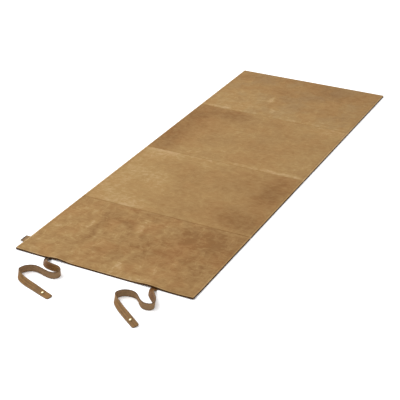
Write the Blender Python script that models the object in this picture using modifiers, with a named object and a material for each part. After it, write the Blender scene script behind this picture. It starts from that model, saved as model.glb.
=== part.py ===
"""Leather gymnastics mat with two fastening straps, laid out flat.

Four leather panels on a dark non-slip base are joined by three sewn seams, and two
leather straps with brass studs come out from under the near edge to hold the mat
rolled or folded.  Metres, +Z up, the long side along Y.  The origin is the middle of
the mat's underside, on the floor.
"""

import math

import bmesh
import bpy
from mathutils import Matrix, Vector

# Mat
MAT_WIDTH = 0.700
PANEL_1_LENGTH = 0.4318
PANEL_2_LENGTH = 0.4822
PANEL_3_LENGTH = 0.4846
PANEL_4_LENGTH = 0.4514
LEATHER_THICKNESS = 0.0015
BASE_THICKNESS = 0.0042
LEATHER_INSET = 0.0008
OUTER_CORNER_RADIUS = 0.005
CORNER_SEGMENTS = 4
CLEARANCE = 0.0003

# Seams: two leather edges turned down between the base sections and sewn together
SEAM_ALLOWANCE = 0.0070
SEAM_BAND = 0.0160

# The near edge stands off the floor beside each strap's root: how far along +X from the
# strap's root it is highest, how far it reaches to each side, and its height
LEFT_BUMP = (0.048, 0.057, 0.063, 0.0055)
RIGHT_BUMP = (-0.010, 0.071, 0.079, 0.0048)
BUMP_DEPTH = 0.100
CURLED_CORNER_SPAN = 0.060
CURLED_CORNER_DEPTH = 0.070
CURLED_CORNER_HEIGHT = 0.0025
COLUMNS = 48
LIFTED_ROWS = 7

# Straps
STRAP_WIDTH = 0.025
STRAP_THICKNESS = 0.0026
STRAP_STEP = 0.008
STRAP_TIP_CORNER = 0.006
TIP_CORNER_SEGMENTS = 3
TAIL_LENGTH = 0.031
TAIL_THICKNESS = 0.0012
TAIL_RAMP = 0.010
TAIL_COLUMNS = 4
TAIL_ROWS = 6
STRAP_ROOT_TO_EDGE = 0.0035
STRAP_ROOT_OVERLAP = 0.0012
LEFT_STRAP_FROM_SIDE = 0.127
RIGHT_STRAP_FROM_SIDE = 0.132
ROUTE_SAMPLES = 20

# Each route is the strap's lower edge, from the corner of its root at the lower X:
# metres along +X from there, metres out from the mat's edge, and how far the strap
# leans over to its flesh side from standing on its edge, in degrees, where 90 is flat
# on the floor and less than 0 leans the other way.
LEFT_ROUTE = (
    (0.0000, 0.0035, 90),
    (0.0025, 0.0145, 68),
    (0.0104, 0.0302, 45),
    (0.0205, 0.0441, 31),
    (0.0401, 0.0556, 26),
    (0.0660, 0.0596, 23),
    (0.0916, 0.0610, 12),
    (0.1081, 0.0724, 2),
    (0.1068, 0.0899, -3),
    (0.0880, 0.0989, -7),
    (0.0596, 0.0944, -7),
    (0.0303, 0.0873, -7),
    (0.0076, 0.0897, -7),
    (-0.0125, 0.1065, -6),
    (-0.0192, 0.1307, 5),
    (-0.0026, 0.1556, 35),
    (0.0277, 0.1726, 50),
    (0.0668, 0.1852, 62),
    (0.1086, 0.1981, 76),
    (0.1511, 0.2104, 85),
)
RIGHT_ROUTE = (
    (0.0000, 0.0035, 90),
    (0.0012, 0.0140, 88),
    (0.0057, 0.0258, 68),
    (0.0135, 0.0421, 50),
    (0.0298, 0.0592, 39),
    (0.0487, 0.0758, 26),
    (0.0627, 0.0911, 10),
    (0.0656, 0.1038, 0),
    (0.0563, 0.1135, -6),
    (0.0382, 0.1147, -7),
    (0.0214, 0.1043, -3),
    (0.0042, 0.0859, 0),
    (-0.0129, 0.0744, -2),
    (-0.0369, 0.0729, -7),
    (-0.0601, 0.0842, -8),
    (-0.0721, 0.1063, 2),
    (-0.0622, 0.1308, 28),
    (-0.0368, 0.1561, 46),
    (0.0044, 0.1856, 60),
    (0.0617, 0.2229, 80),
)

# Brass studs at the strap tips, and the sockets they snap into under the base
STUD_FROM_TIP = 0.036
STUD_HEAD_RADIUS = 0.0058
STUD_HEAD_HEIGHT = 0.0029
STUD_SHANK_RADIUS = 0.0019
WASHER_RADIUS = 0.0040
WASHER_THICKNESS = 0.0008
SHANK_PROUD = 0.0004
SOCKET_INBOARD = 0.085
SOCKET_RADIUS = 0.0075
SOCKET_LIP = 0.0010
SOCKET_FLOOR = 0.0006
STUD_FIT = 0.0003
ROUND_STEPS = 24
DOME_STEPS = 6
SHARP_ANGLE = math.radians(35)

# Label tab sewn in at the left edge
TAB_FROM_NEAR_EDGE = 0.073
TAB_WIDTH = 0.038
TAB_REACH = 0.019
TAB_TONGUE = 0.015
TAB_THICKNESS = 0.0013

# Sewing round the edge
THREAD_RADIUS = 0.0003
THREAD_FROM_EDGE = 0.009
THREAD_FROM_SEAM = 0.024
THREAD_SIDES_RESOLUTION = 1

# Derived places
MAT_LENGTH = PANEL_1_LENGTH + PANEL_2_LENGTH + PANEL_3_LENGTH + PANEL_4_LENGTH
MAT_THICKNESS = BASE_THICKNESS + CLEARANCE + LEATHER_THICKNESS
NEAR_EDGE = -MAT_LENGTH / 2
SEAM_1 = NEAR_EDGE + PANEL_1_LENGTH
SEAM_2 = SEAM_1 + PANEL_2_LENGTH
SEAM_3 = SEAM_2 + PANEL_3_LENGTH
FAR_EDGE = MAT_LENGTH / 2
HALF_WIDTH = MAT_WIDTH / 2
LEATHER_BOTTOM = BASE_THICKNESS + CLEARANCE
LEFT_STRAP_X = -HALF_WIDTH + LEFT_STRAP_FROM_SIDE
RIGHT_STRAP_X = HALF_WIDTH - RIGHT_STRAP_FROM_SIDE - STRAP_WIDTH
BASE_FROM_SEAM = SEAM_ALLOWANCE / 2 + CLEARANCE
BANDED_LEATHER_FROM_SEAM = SEAM_BAND / 2 + CLEARANCE
STRAP_HINGE_Y = NEAR_EDGE - STRAP_ROOT_TO_EDGE
STRAP_HINGE_Z = STRAP_THICKNESS / 2
# The strap's root corner sweeps this far round its hinge, and the tail stops short of it
ROOT_SWEEP = math.hypot(STRAP_ROOT_OVERLAP, STRAP_THICKNESS / 2)
TAIL_END_Y = STRAP_HINGE_Y + ROOT_SWEEP + CLEARANCE


def linear(hex_colour):
    """Return an sRGB hex colour as linear RGBA."""
    channels = []
    for start in (0, 2, 4):
        value = int(hex_colour[start:start + 2], 16) / 255
        if value <= 0.04045:
            channels.append(value / 12.92)
        else:
            channels.append(((value + 0.055) / 1.055) ** 2.4)
    return (*channels, 1.0)


def material(name, colour, roughness, metallic=0.0):
    """Return a Principled material."""
    mat = bpy.data.materials.new(name)
    mat.use_nodes = True
    shader = mat.node_tree.nodes["Principled BSDF"]
    shader.inputs["Base Color"].default_value = linear(colour)
    shader.inputs["Roughness"].default_value = roughness
    shader.inputs["Metallic"].default_value = metallic
    mat.diffuse_color = linear(colour)
    return mat


def smoothstep(value):
    """Ease from 0 to 1."""
    value = min(max(value, 0.0), 1.0)
    return value * value * (3 - 2 * value)


def edge_lift(x, y):
    """Return how far the near end of the mat stands off the floor at a point."""
    inboard = y - NEAR_EDGE
    height = 0.0
    for root_x, bump in ((LEFT_STRAP_X, LEFT_BUMP), (RIGHT_STRAP_X, RIGHT_BUMP)):
        offset, span_left, span_right, top = bump
        middle = root_x + offset
        if x < middle:
            across = 1 - (middle - x) / span_left
        else:
            across = 1 - (x - middle) / span_right
        height += top * smoothstep(across) * smoothstep(1 - inboard / BUMP_DEPTH)
    corner = 1 - (HALF_WIDTH - x) / CURLED_CORNER_SPAN
    fade = smoothstep(1 - inboard / CURLED_CORNER_DEPTH)
    height += CURLED_CORNER_HEIGHT * smoothstep(corner) * fade
    return height


def link(obj, collection, mat=None):
    """Put an object in a collection with its material."""
    collection.objects.link(obj)
    if mat is not None:
        obj.data.materials.append(mat)
    return obj


def hinge_empty(name, collection, location, parent=None):
    """Return an empty on a joint's axis."""
    empty = bpy.data.objects.new(name, None)
    empty.empty_display_size = SEAM_BAND
    collection.objects.link(empty)
    origin = Vector((0, 0, 0))
    if parent is not None:
        empty.parent = parent
        origin = Vector(parent["world"])
    empty.location = Vector(location) - origin
    empty["world"] = tuple(location)
    return empty


def ride(obj, hinge, location=(0, 0, 0), rotation=None):
    """Parent an object to a joint's empty and place it in world coordinates."""
    obj.parent = hinge
    turn = Matrix.Identity(4)
    if rotation is not None:
        turn = rotation.to_4x4()
    offset = Vector(location) - Vector(hinge["world"])
    obj.matrix_basis = Matrix.Translation(offset) @ turn
    return obj


def slab_mesh(name, columns, rows, z0, z1, corners=()):
    """Return a flat slab divided at the given X and Y places, with rounded corners."""
    bm = bmesh.new()
    across = len(columns) - 1
    along = len(rows) - 1
    bmesh.ops.create_grid(bm, x_segments=across, y_segments=along, size=0.5)
    for vert in bm.verts:
        column = round((vert.co.x + 0.5) * across)
        row = round((vert.co.y + 0.5) * along)
        vert.co = Vector((columns[column], rows[row], z0))
    result = bmesh.ops.extrude_face_region(bm, geom=bm.faces[:])
    for item in result["geom"]:
        if isinstance(item, bmesh.types.BMVert):
            item.co.z = z1
    if corners:
        uprights = []
        for edge in bm.edges:
            first, second = edge.verts
            if abs(first.co.z - second.co.z) < (z1 - z0) / 2:
                continue
            for corner in corners:
                if (first.co.xy - Vector(corner)).length < CLEARANCE:
                    uprights.append(edge)
        bmesh.ops.bevel(
            bm,
            geom=uprights,
            offset=OUTER_CORNER_RADIUS,
            offset_type="OFFSET",
            segments=CORNER_SEGMENTS,
            profile=0.5,
            affect="EDGES",
        )
    bmesh.ops.recalc_face_normals(bm, faces=bm.faces[:])
    mesh = bpy.data.meshes.new(name)
    bm.to_mesh(mesh)
    bm.free()
    shade_round(mesh)
    return mesh


def shade_round(mesh):
    """Shade a mesh smooth and keep its edges crisp."""
    mesh.shade_smooth()
    mesh.set_sharp_from_angle(angle=SHARP_ANGLE)


def lift_mesh(mesh):
    """Raise the near end of a layer of the first panel."""
    for vert in mesh.vertices:
        vert.co.z += edge_lift(vert.co.x, vert.co.y)


def raise_tail(mesh):
    """Bend a strap's tail up from the floor to the underside of the lifted base."""
    for vert in mesh.vertices:
        room = edge_lift(vert.co.x, vert.co.y) - TAIL_THICKNESS - CLEARANCE
        vert.co.z += max(room, 0.0) * smoothstep((vert.co.y - TAIL_END_Y) / TAIL_RAMP)


def divided(start, end, count):
    """Return the ends of a span and the places that divide it evenly."""
    return [start + (end - start) * step / count for step in range(count + 1)]


def lifted_columns(half_width):
    """Return the X places where the first panel is divided, clear of its round corners."""
    inner = half_width - OUTER_CORNER_RADIUS - CLEARANCE
    return [-half_width, *divided(-inner, inner, COLUMNS), half_width]


def lifted_rows(y0, y1):
    """Return the Y places where the first panel is divided, close where its edge lifts."""
    first = y0 + OUTER_CORNER_RADIUS + CLEARANCE
    return [y0, *divided(first, y0 + BUMP_DEPTH, LIFTED_ROWS), y1]


def layer(name, collection, mat, hinge, side_gap, y0, y1, z0, z1, near=False, far=False):
    """Build one panel's leather or base and parent it to its body."""
    x1 = HALF_WIDTH - side_gap
    if near:
        y0 += side_gap
        corners = [(-x1, y0), (x1, y0)]
        columns = lifted_columns(x1)
        mesh = slab_mesh(name, columns, lifted_rows(y0, y1), z0, z1, corners)
        lift_mesh(mesh)
    elif far:
        y1 -= side_gap
        mesh = slab_mesh(name, [-x1, x1], [y0, y1], z0, z1, [(-x1, y1), (x1, y1)])
    else:
        mesh = slab_mesh(name, [-x1, x1], [y0, y1], z0, z1)
    return settle(name, collection, mat, hinge, mesh)


def settle(name, collection, mat, hinge, mesh):
    """Make an object of a mesh in world coordinates, with its origin on its joint."""
    world = Vector(hinge["world"])
    mesh.transform(Matrix.Translation(-world))
    obj = link(bpy.data.objects.new(name, mesh), collection, mat)
    return ride(obj, hinge, world)


def box_cutter(name, collection, low, high):
    """Return a box that is only used to cut."""
    bm = bmesh.new()
    bmesh.ops.create_cube(bm, size=1.0)
    middle = (Vector(low) + Vector(high)) / 2
    size = Vector(high) - Vector(low)
    for vert in bm.verts:
        vert.co = Vector((vert.co.x * size.x, vert.co.y * size.y, vert.co.z * size.z))
    mesh = bpy.data.meshes.new(name)
    bm.to_mesh(mesh)
    bm.free()
    return hide_cutter(bpy.data.objects.new(name, mesh), collection, middle)


def round_cutter(name, collection, radius, height, centre, turn=None):
    """Return an upright cylinder that is only used to cut."""
    bm = bmesh.new()
    bmesh.ops.create_cone(
        bm, cap_ends=True, segments=ROUND_STEPS, radius1=radius, radius2=radius, depth=height
    )
    if turn is not None:
        bmesh.ops.transform(bm, matrix=turn.to_4x4(), verts=bm.verts[:])
    mesh = bpy.data.meshes.new(name)
    bm.to_mesh(mesh)
    bm.free()
    return hide_cutter(bpy.data.objects.new(name, mesh), collection, centre)


def hide_cutter(obj, collection, location):
    """Show a cutter as wire only."""
    collection.objects.link(obj)
    obj.location = location
    obj.hide_render = True
    obj.display_type = "WIRE"
    return obj


def cut(obj, cutter):
    """Take a cutter away from an object."""
    boolean = obj.modifiers.new("cut " + cutter.name, "BOOLEAN")
    boolean.operation = "DIFFERENCE"
    boolean.solver = "EXACT"
    boolean.object = cutter


def lathe(name, collection, mat, profile):
    """Turn a closed profile of (radius, height) about Z with a Screw modifier."""
    bm = bmesh.new()
    verts = [bm.verts.new((radius, 0, height)) for radius, height in profile]
    for first, second in zip(verts, verts[1:]):
        bm.edges.new((first, second))
    if profile[0][0] > 0:
        bm.edges.new((verts[-1], verts[0]))
    mesh = bpy.data.meshes.new(name)
    bm.to_mesh(mesh)
    bm.free()
    obj = bpy.data.objects.new(name, mesh)
    link(obj, collection, mat)
    screw = obj.modifiers.new("turn", "SCREW")
    screw.angle = math.tau
    screw.steps = ROUND_STEPS
    screw.render_steps = ROUND_STEPS
    screw.use_merge_vertices = True
    screw.merge_threshold = 0.00001
    bpy.context.view_layer.update()
    turned = obj.evaluated_get(bpy.context.evaluated_depsgraph_get())
    solid = bpy.data.meshes.new_from_object(turned)
    obj.modifiers.clear()
    obj.data = solid
    shade_round(solid)
    return obj


def smooth_route(points):
    """Return a Catmull-Rom curve through a short list of points, in even small steps."""
    samples = []
    for index in range(len(points) - 1):
        before = Vector(points[max(index - 1, 0)])
        start = Vector(points[index])
        end = Vector(points[index + 1])
        after = Vector(points[min(index + 2, len(points) - 1)])
        for step in range(ROUTE_SAMPLES):
            t = step / ROUTE_SAMPLES
            first = 2 * start
            second = (end - before) * t
            third = (2 * before - 5 * start + 4 * end - after) * t * t
            fourth = (3 * start - before - 3 * end + after) * t * t * t
            samples.append((first + second + third + fourth) / 2)
    samples.append(Vector(points[-1]))
    return samples


def strap_stations(root_x, route):
    """Return places along the strap: lower edge, direction, lean and distance."""
    samples = smooth_route([(x, y, math.radians(lean)) for x, y, lean in route])
    distances = [0.0]
    for first, second in zip(samples, samples[1:]):
        distances.append(distances[-1] + (second.xy - first.xy).length)
    count = round(distances[-1] / STRAP_STEP)
    stations = []
    for station in range(count + 1):
        wanted = distances[-1] * station / count
        index = 1
        while index < len(distances) - 1 and distances[index] < wanted:
            index += 1
        span = distances[index] - distances[index - 1]
        share = (wanted - distances[index - 1]) / span
        point = samples[index - 1].lerp(samples[index], share)
        place = Vector((root_x + point.x, NEAR_EDGE - point.y, 0))
        stations.append([place, None, point.z, wanted])
    for index, station in enumerate(stations):
        before = stations[max(index - 1, 0)][0]
        after = stations[min(index + 1, len(stations) - 1)][0]
        station[1] = (after - before).normalized()
    stations[0][1] = Vector((0, -1, 0))
    return stations


def strap_frame(station):
    """Return the lower and upper edge of the strap's grain face, and its normal."""
    place, heading, lean, _ = station
    to_left = Vector((-heading.y, heading.x, 0))
    upward = to_left * math.sin(lean) + Vector((0, 0, 1)) * math.cos(lean)
    normal = Vector((0, 0, 1)) * math.sin(lean) - to_left * math.cos(lean)
    lower = place + Vector((0, 0, STRAP_THICKNESS * max(math.sin(lean), 0.0)))
    return lower, lower + upward * STRAP_WIDTH, normal


def strap(name, collection, mat, hinge, stations):
    """Build the free strap as a ribbon on its route, given its thickness by Solidify."""
    bm = bmesh.new()
    bmesh.ops.create_grid(bm, x_segments=1, y_segments=len(stations), size=0.5)
    world = Vector(hinge["world"])
    rows = len(stations)
    for vert in bm.verts:
        row = round((vert.co.y + 0.5) * rows)
        left = vert.co.x < 0
        if row == 0:
            lower, upper, _ = strap_frame(stations[0])
            back = Vector((0, STRAP_ROOT_OVERLAP, 0))
            lower = lower + back
            upper = upper + back
        else:
            lower, upper, _ = strap_frame(stations[row - 1])
        vert.co = (lower if left else upper) - world
    tip_row = strap_frame(stations[-1])
    tips = [
        vert for vert in bm.verts
        if min((vert.co + world - end).length for end in tip_row[:2]) < CLEARANCE
    ]
    bmesh.ops.bevel(
        bm,
        geom=tips,
        offset=STRAP_TIP_CORNER,
        segments=TIP_CORNER_SEGMENTS,
        profile=0.5,
        affect="VERTICES",
    )
    for edge in bm.edges:
        edge.smooth = not edge.is_boundary
    for face in bm.faces:
        face.smooth = True
    wanted = strap_frame(stations[1])[2]
    bm.normal_update()
    bm.faces.ensure_lookup_table()
    nearest = min(
        bm.faces, key=lambda face: (face.calc_center_median() + world - stations[1][0]).length
    )
    if nearest.normal.dot(wanted) < 0:
        bmesh.ops.reverse_faces(bm, faces=bm.faces[:])
    mesh = bpy.data.meshes.new(name)
    bm.to_mesh(mesh)
    bm.free()
    obj = bpy.data.objects.new(name, mesh)
    link(obj, collection, mat)
    ride(obj, hinge, world)
    solid = obj.modifiers.new("thickness", "SOLIDIFY")
    solid.thickness = STRAP_THICKNESS
    solid.offset = -1.0
    solid.use_even_offset = True
    return obj


def stud_place(stations):
    """Return the middle of the grain face at the stud, and a turn from +Z to its normal."""
    wanted = stations[-1][3] - STUD_FROM_TIP
    index = 1
    while index < len(stations) - 1 and stations[index][3] < wanted:
        index += 1
    first = stations[index - 1]
    second = stations[index]
    share = (wanted - first[3]) / (second[3] - first[3])
    lower_a, upper_a, _ = strap_frame(first)
    lower_b, upper_b, _ = strap_frame(second)
    middle = ((lower_a + upper_a) / 2).lerp((lower_b + upper_b) / 2, share)
    along = (lower_b + upper_b - lower_a - upper_a).normalized()
    across = (upper_a - lower_a).lerp(upper_b - lower_b, share).normalized()
    normal = along.cross(across).normalized()
    turn = Vector((0, 0, 1)).rotation_difference(normal).to_matrix()
    return middle, normal, turn


def stud_profile():
    """Return the outline of a domed stud with its shank, from the top middle down."""
    points = []
    for step in range(DOME_STEPS + 1):
        angle = math.tau / 4 * step / DOME_STEPS
        radius = STUD_HEAD_RADIUS * math.sin(angle)
        height = STUD_HEAD_HEIGHT * math.cos(angle)
        points.append((radius, CLEARANCE + height))
    through = STRAP_THICKNESS + WASHER_THICKNESS + SHANK_PROUD + CLEARANCE
    points.append((STUD_SHANK_RADIUS, CLEARANCE))
    points.append((STUD_SHANK_RADIUS, -through))
    points.append((0.0, -through))
    return points


def washer_profile():
    """Return the outline of the washer behind the strap."""
    inner = STUD_SHANK_RADIUS + CLEARANCE
    top = -STRAP_THICKNESS - CLEARANCE
    low = top - WASHER_THICKNESS
    return [(WASHER_RADIUS, top), (WASHER_RADIUS, low), (inner, low), (inner, top)]


def socket_profile():
    """Return the outline of the open-bottomed socket let into the base."""
    mouth = STUD_HEAD_RADIUS + STUD_FIT
    room = mouth + SOCKET_LIP / 2
    top = BASE_THICKNESS
    floor = top - SOCKET_FLOOR
    return [
        (0.0, top),
        (SOCKET_RADIUS, top),
        (SOCKET_RADIUS, CLEARANCE),
        (mouth, CLEARANCE),
        (mouth, CLEARANCE + SOCKET_LIP),
        (room, CLEARANCE + SOCKET_LIP),
        (room, floor),
        (0.0, floor),
    ]


def thread(name, collection, mat, hinge, points, closed=False):
    """Lay a line of sewing thread just above the leather."""
    data = bpy.data.curves.new(name, "CURVE")
    data.dimensions = "3D"
    data.bevel_depth = THREAD_RADIUS
    data.bevel_resolution = THREAD_SIDES_RESOLUTION
    data.use_fill_caps = True
    spline = data.splines.new("POLY")
    spline.points.add(len(points) - 1)
    world = Vector(hinge["world"])
    height = MAT_THICKNESS + CLEARANCE + THREAD_RADIUS
    for target, (x, y) in zip(spline.points, points):
        place = Vector((x, y, height + edge_lift(x, y))) - world
        target.co = (*place, 1.0)
    spline.use_cyclic_u = closed
    obj = bpy.data.objects.new(name, data)
    link(obj, collection, mat)
    return ride(obj, hinge, world)


def seam_strip(name, collection, mat, hinge, outline, seam_y):
    """Extrude a seam's cross-section (across the seam, height) over the mat's width."""
    data = bpy.data.curves.new(name, "CURVE")
    data.dimensions = "2D"
    data.fill_mode = "BOTH"
    data.extrude = HALF_WIDTH - LEATHER_INSET
    spline = data.splines.new("POLY")
    spline.points.add(len(outline) - 1)
    for target, (across, height) in zip(spline.points, outline):
        target.co = (across, height, 0.0, 1.0)
    spline.use_cyclic_u = True
    obj = bpy.data.objects.new(name, data)
    link(obj, collection, mat)
    turn = Matrix(((0, 0, 1), (1, 0, 0), (0, 1, 0)))
    return ride(obj, hinge, (0, seam_y, 0), turn)


def banded_outline():
    """Return the seam section with a band flush with the leather."""
    band = SEAM_BAND / 2
    fin = SEAM_ALLOWANCE / 2
    return [
        (-fin, CLEARANCE),
        (fin, CLEARANCE),
        (fin, LEATHER_BOTTOM),
        (band, LEATHER_BOTTOM),
        (band, MAT_THICKNESS),
        (-band, MAT_THICKNESS),
        (-band, LEATHER_BOTTOM),
        (-fin, LEATHER_BOTTOM),
    ]


def plain_outline():
    """Return the seam section of two edges turned straight down."""
    fin = SEAM_ALLOWANCE / 2
    return [
        (-fin, CLEARANCE),
        (fin, CLEARANCE),
        (fin, MAT_THICKNESS),
        (-fin, MAT_THICKNESS),
    ]


def build():
    """Model the mat."""
    for obj in list(bpy.data.objects):
        bpy.data.objects.remove(obj, do_unlink=True)
    scene = bpy.context.scene
    mat_parts = bpy.data.collections.new("gymnastics_mat")
    cutters = bpy.data.collections.new("cutters")
    scene.collection.children.link(mat_parts)
    scene.collection.children.link(cutters)

    leather = material("tan nubuck leather", "A98760", 0.85)
    underlay = material("dark brown rubber underlay", "3A2B1C", 0.9)
    welt = material("turned tan leather", "B08C5C", 0.8)
    strap_leather = material("oiled strap leather", "96703F", 0.55)
    brass = material("polished brass", "C9A25A", 0.25, 1.0)
    cotton = material("waxed sewing thread", "C7A878", 0.7)

    body_3 = hinge_empty("panel_3_body", mat_parts, (0, 0, 0))
    fold_2 = hinge_empty("fold_2_axis", mat_parts, (0, SEAM_2, 0), body_3)
    fold_1 = hinge_empty("fold_1_axis", mat_parts, (0, SEAM_1, MAT_THICKNESS), fold_2)
    fold_3 = hinge_empty("fold_3_axis", mat_parts, (0, SEAM_3, MAT_THICKNESS), body_3)

    def panel(number, hinge, start, end, start_gaps, end_gaps, near=False, far=False):
        layer(
            f"top_leather_{number}", mat_parts, leather, hinge, LEATHER_INSET,
            start + start_gaps[0], end - end_gaps[0], LEATHER_BOTTOM, MAT_THICKNESS, near, far,
        )
        return layer(
            f"base_{number}", mat_parts, underlay, hinge, 0.0,
            start + start_gaps[1], end - end_gaps[1], 0.0, BASE_THICKNESS, near, far,
        )

    edge = (0.0, 0.0)
    banded = (BANDED_LEATHER_FROM_SEAM, BASE_FROM_SEAM)
    plain = (BASE_FROM_SEAM, BASE_FROM_SEAM)
    base_1 = panel(1, fold_1, NEAR_EDGE, SEAM_1, edge, banded, near=True)
    panel(2, fold_2, SEAM_1, SEAM_2, banded, plain)
    panel(3, body_3, SEAM_2, SEAM_3, plain, banded)
    panel(4, fold_3, SEAM_3, FAR_EDGE, banded, edge, far=True)

    seam_strip("seam_strip_1", mat_parts, welt, fold_2, banded_outline(), SEAM_1)
    seam_strip("seam_strip_2", mat_parts, welt, body_3, plain_outline(), SEAM_2)
    seam_strip("seam_strip_3", mat_parts, welt, body_3, banded_outline(), SEAM_3)

    # The label tab's tongue lies in a rebate in the top of the base
    tab_y0 = NEAR_EDGE + TAB_FROM_NEAR_EDGE - TAB_WIDTH / 2
    tab_y1 = tab_y0 + TAB_WIDTH
    tab_top = BASE_THICKNESS
    tab_low = tab_top - TAB_THICKNESS
    rebate = box_cutter(
        "label rebate", cutters,
        (-HALF_WIDTH - TAB_REACH, tab_y0 - CLEARANCE, tab_low - CLEARANCE),
        (-HALF_WIDTH + TAB_TONGUE + CLEARANCE, tab_y1 + CLEARANCE, MAT_THICKNESS),
    )
    cut(base_1, rebate)
    tab_columns = [-HALF_WIDTH - TAB_REACH, -HALF_WIDTH + TAB_TONGUE]
    tab_mesh = slab_mesh("label_tab", tab_columns, [tab_y0, tab_y1], tab_low, tab_top)
    settle("label_tab", mat_parts, welt, fold_1, tab_mesh)

    for side, root_x, route in (
        ("left", LEFT_STRAP_X, LEFT_ROUTE),
        ("right", RIGHT_STRAP_X, RIGHT_ROUTE),
    ):
        middle_x = root_x + STRAP_WIDTH / 2
        hinge = hinge_empty(
            f"strap_{side}_axis", mat_parts, (middle_x, STRAP_HINGE_Y, STRAP_HINGE_Z), fold_1
        )
        stations = strap_stations(root_x, route)
        band = strap(f"strap_{side}", mat_parts, strap_leather, hinge, stations)

        # The tail is pared thin and sewn under the base, which keeps room for it
        tail = f"strap_tail_{side}"
        tail_columns = divided(root_x, root_x + STRAP_WIDTH, TAIL_COLUMNS)
        tail_rows = divided(TAIL_END_Y, TAIL_END_Y + TAIL_LENGTH, TAIL_ROWS)
        tail_mesh = slab_mesh(tail, tail_columns, tail_rows, 0.0, TAIL_THICKNESS)
        raise_tail(tail_mesh)
        settle(tail, mat_parts, strap_leather, fold_1, tail_mesh)
        room = box_cutter(
            f"tail room {side}", cutters,
            (tail_columns[0] - CLEARANCE, tail_rows[0] - TAIL_LENGTH, -TAIL_THICKNESS),
            (tail_columns[-1] + CLEARANCE, tail_rows[-1] + CLEARANCE, TAIL_THICKNESS + CLEARANCE),
        )
        cut(base_1, room)

        place, normal, turn = stud_place(stations)
        hole = round_cutter(
            f"stud hole {side}", cutters, STUD_SHANK_RADIUS + CLEARANCE,
            STRAP_THICKNESS * 4, place - normal * STRAP_THICKNESS / 2, turn,
        )
        cut(band, hole)
        stud = lathe(f"snap_stud_{side}", mat_parts, brass, stud_profile())
        ride(stud, hinge, place, turn)
        washer = lathe(f"snap_washer_{side}", mat_parts, brass, washer_profile())
        ride(washer, hinge, place, turn)

        socket_place = (middle_x, NEAR_EDGE + SOCKET_INBOARD, 0)
        lift = edge_lift(middle_x, NEAR_EDGE + SOCKET_INBOARD)
        pocket = round_cutter(
            f"socket hole {side}", cutters, SOCKET_RADIUS + CLEARANCE, 4 * BASE_THICKNESS,
            (socket_place[0], socket_place[1], lift),
        )
        cut(base_1, pocket)
        socket = lathe(f"snap_socket_{side}", mat_parts, brass, socket_profile())
        ride(socket, fold_1, (socket_place[0], socket_place[1], lift))

    side_x = HALF_WIDTH - LEATHER_INSET - THREAD_FROM_EDGE
    near_y = NEAR_EDGE + LEATHER_INSET + THREAD_FROM_EDGE
    far_y = FAR_EDGE - LEATHER_INSET - THREAD_FROM_EDGE
    panel_1_end = SEAM_1 - THREAD_FROM_SEAM
    across = [-side_x]
    across += [x for x in lifted_columns(HALF_WIDTH - LEATHER_INSET) if abs(x) < side_x]
    across += [side_x]
    rows = lifted_rows(NEAR_EDGE + LEATHER_INSET, panel_1_end)
    down = [y for y in reversed(rows) if near_y < y < panel_1_end]
    near_path = [(-side_x, panel_1_end)]
    near_path += [(-side_x, y) for y in down]
    near_path += [(x, near_y) for x in across]
    near_path += [(side_x, y) for y in reversed(down)]
    near_path += [(side_x, panel_1_end)]
    thread("sewing_thread_1", mat_parts, cotton, fold_1, near_path)
    for label, x in (("left", -side_x), ("right", side_x)):
        path_2 = [(x, SEAM_1 + THREAD_FROM_SEAM), (x, SEAM_2 - THREAD_FROM_SEAM)]
        thread(f"sewing_thread_2_{label}", mat_parts, cotton, fold_2, path_2)
        path_3 = [(x, SEAM_2 + THREAD_FROM_SEAM), (x, SEAM_3 - THREAD_FROM_SEAM)]
        thread(f"sewing_thread_3_{label}", mat_parts, cotton, body_3, path_3)
    far_path = [
        (-side_x, SEAM_3 + THREAD_FROM_SEAM),
        (-side_x, far_y),
        (side_x, far_y),
        (side_x, SEAM_3 + THREAD_FROM_SEAM),
    ]
    thread("sewing_thread_4", mat_parts, cotton, fold_3, far_path)


build()
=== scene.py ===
from bisect import bisect_left
from contextlib import contextmanager
from functools import cache, partial
import math

import bmesh
import bpy
from mathutils import Matrix, Vector, noise


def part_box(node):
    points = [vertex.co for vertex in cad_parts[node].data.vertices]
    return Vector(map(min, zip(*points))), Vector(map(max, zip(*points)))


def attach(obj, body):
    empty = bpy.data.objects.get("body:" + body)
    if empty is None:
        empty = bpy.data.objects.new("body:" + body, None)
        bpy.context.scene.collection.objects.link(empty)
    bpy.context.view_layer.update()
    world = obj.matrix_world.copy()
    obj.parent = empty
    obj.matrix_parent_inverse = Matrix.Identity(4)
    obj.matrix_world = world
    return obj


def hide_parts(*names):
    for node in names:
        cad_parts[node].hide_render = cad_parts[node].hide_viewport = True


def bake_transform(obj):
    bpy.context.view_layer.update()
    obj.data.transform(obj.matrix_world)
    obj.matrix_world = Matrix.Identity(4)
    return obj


# The visible pieces, materials and studio of a leather gymnastics mat, laid out as an
# add-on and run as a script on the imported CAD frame.  Metres, +Z up, the mat's long side
# along Y and its near edge, with the two straps, at the low end of Y.

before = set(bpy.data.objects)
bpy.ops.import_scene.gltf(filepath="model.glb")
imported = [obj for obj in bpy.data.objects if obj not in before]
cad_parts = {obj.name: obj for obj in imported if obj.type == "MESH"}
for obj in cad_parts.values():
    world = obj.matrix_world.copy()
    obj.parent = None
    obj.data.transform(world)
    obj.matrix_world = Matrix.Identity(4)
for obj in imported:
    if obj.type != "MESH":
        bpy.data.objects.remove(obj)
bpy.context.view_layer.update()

bl_info = {
    "name": "Leather gymnastics mat",
    "version": (1, 0, 0),
    "blender": (4, 5, 0),
    "location": "View3D > Sidebar > Mat",
    "description": "Makes the mat's visible pieces, materials and studio on its CAD frame",
    "category": "Object",
}

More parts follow.
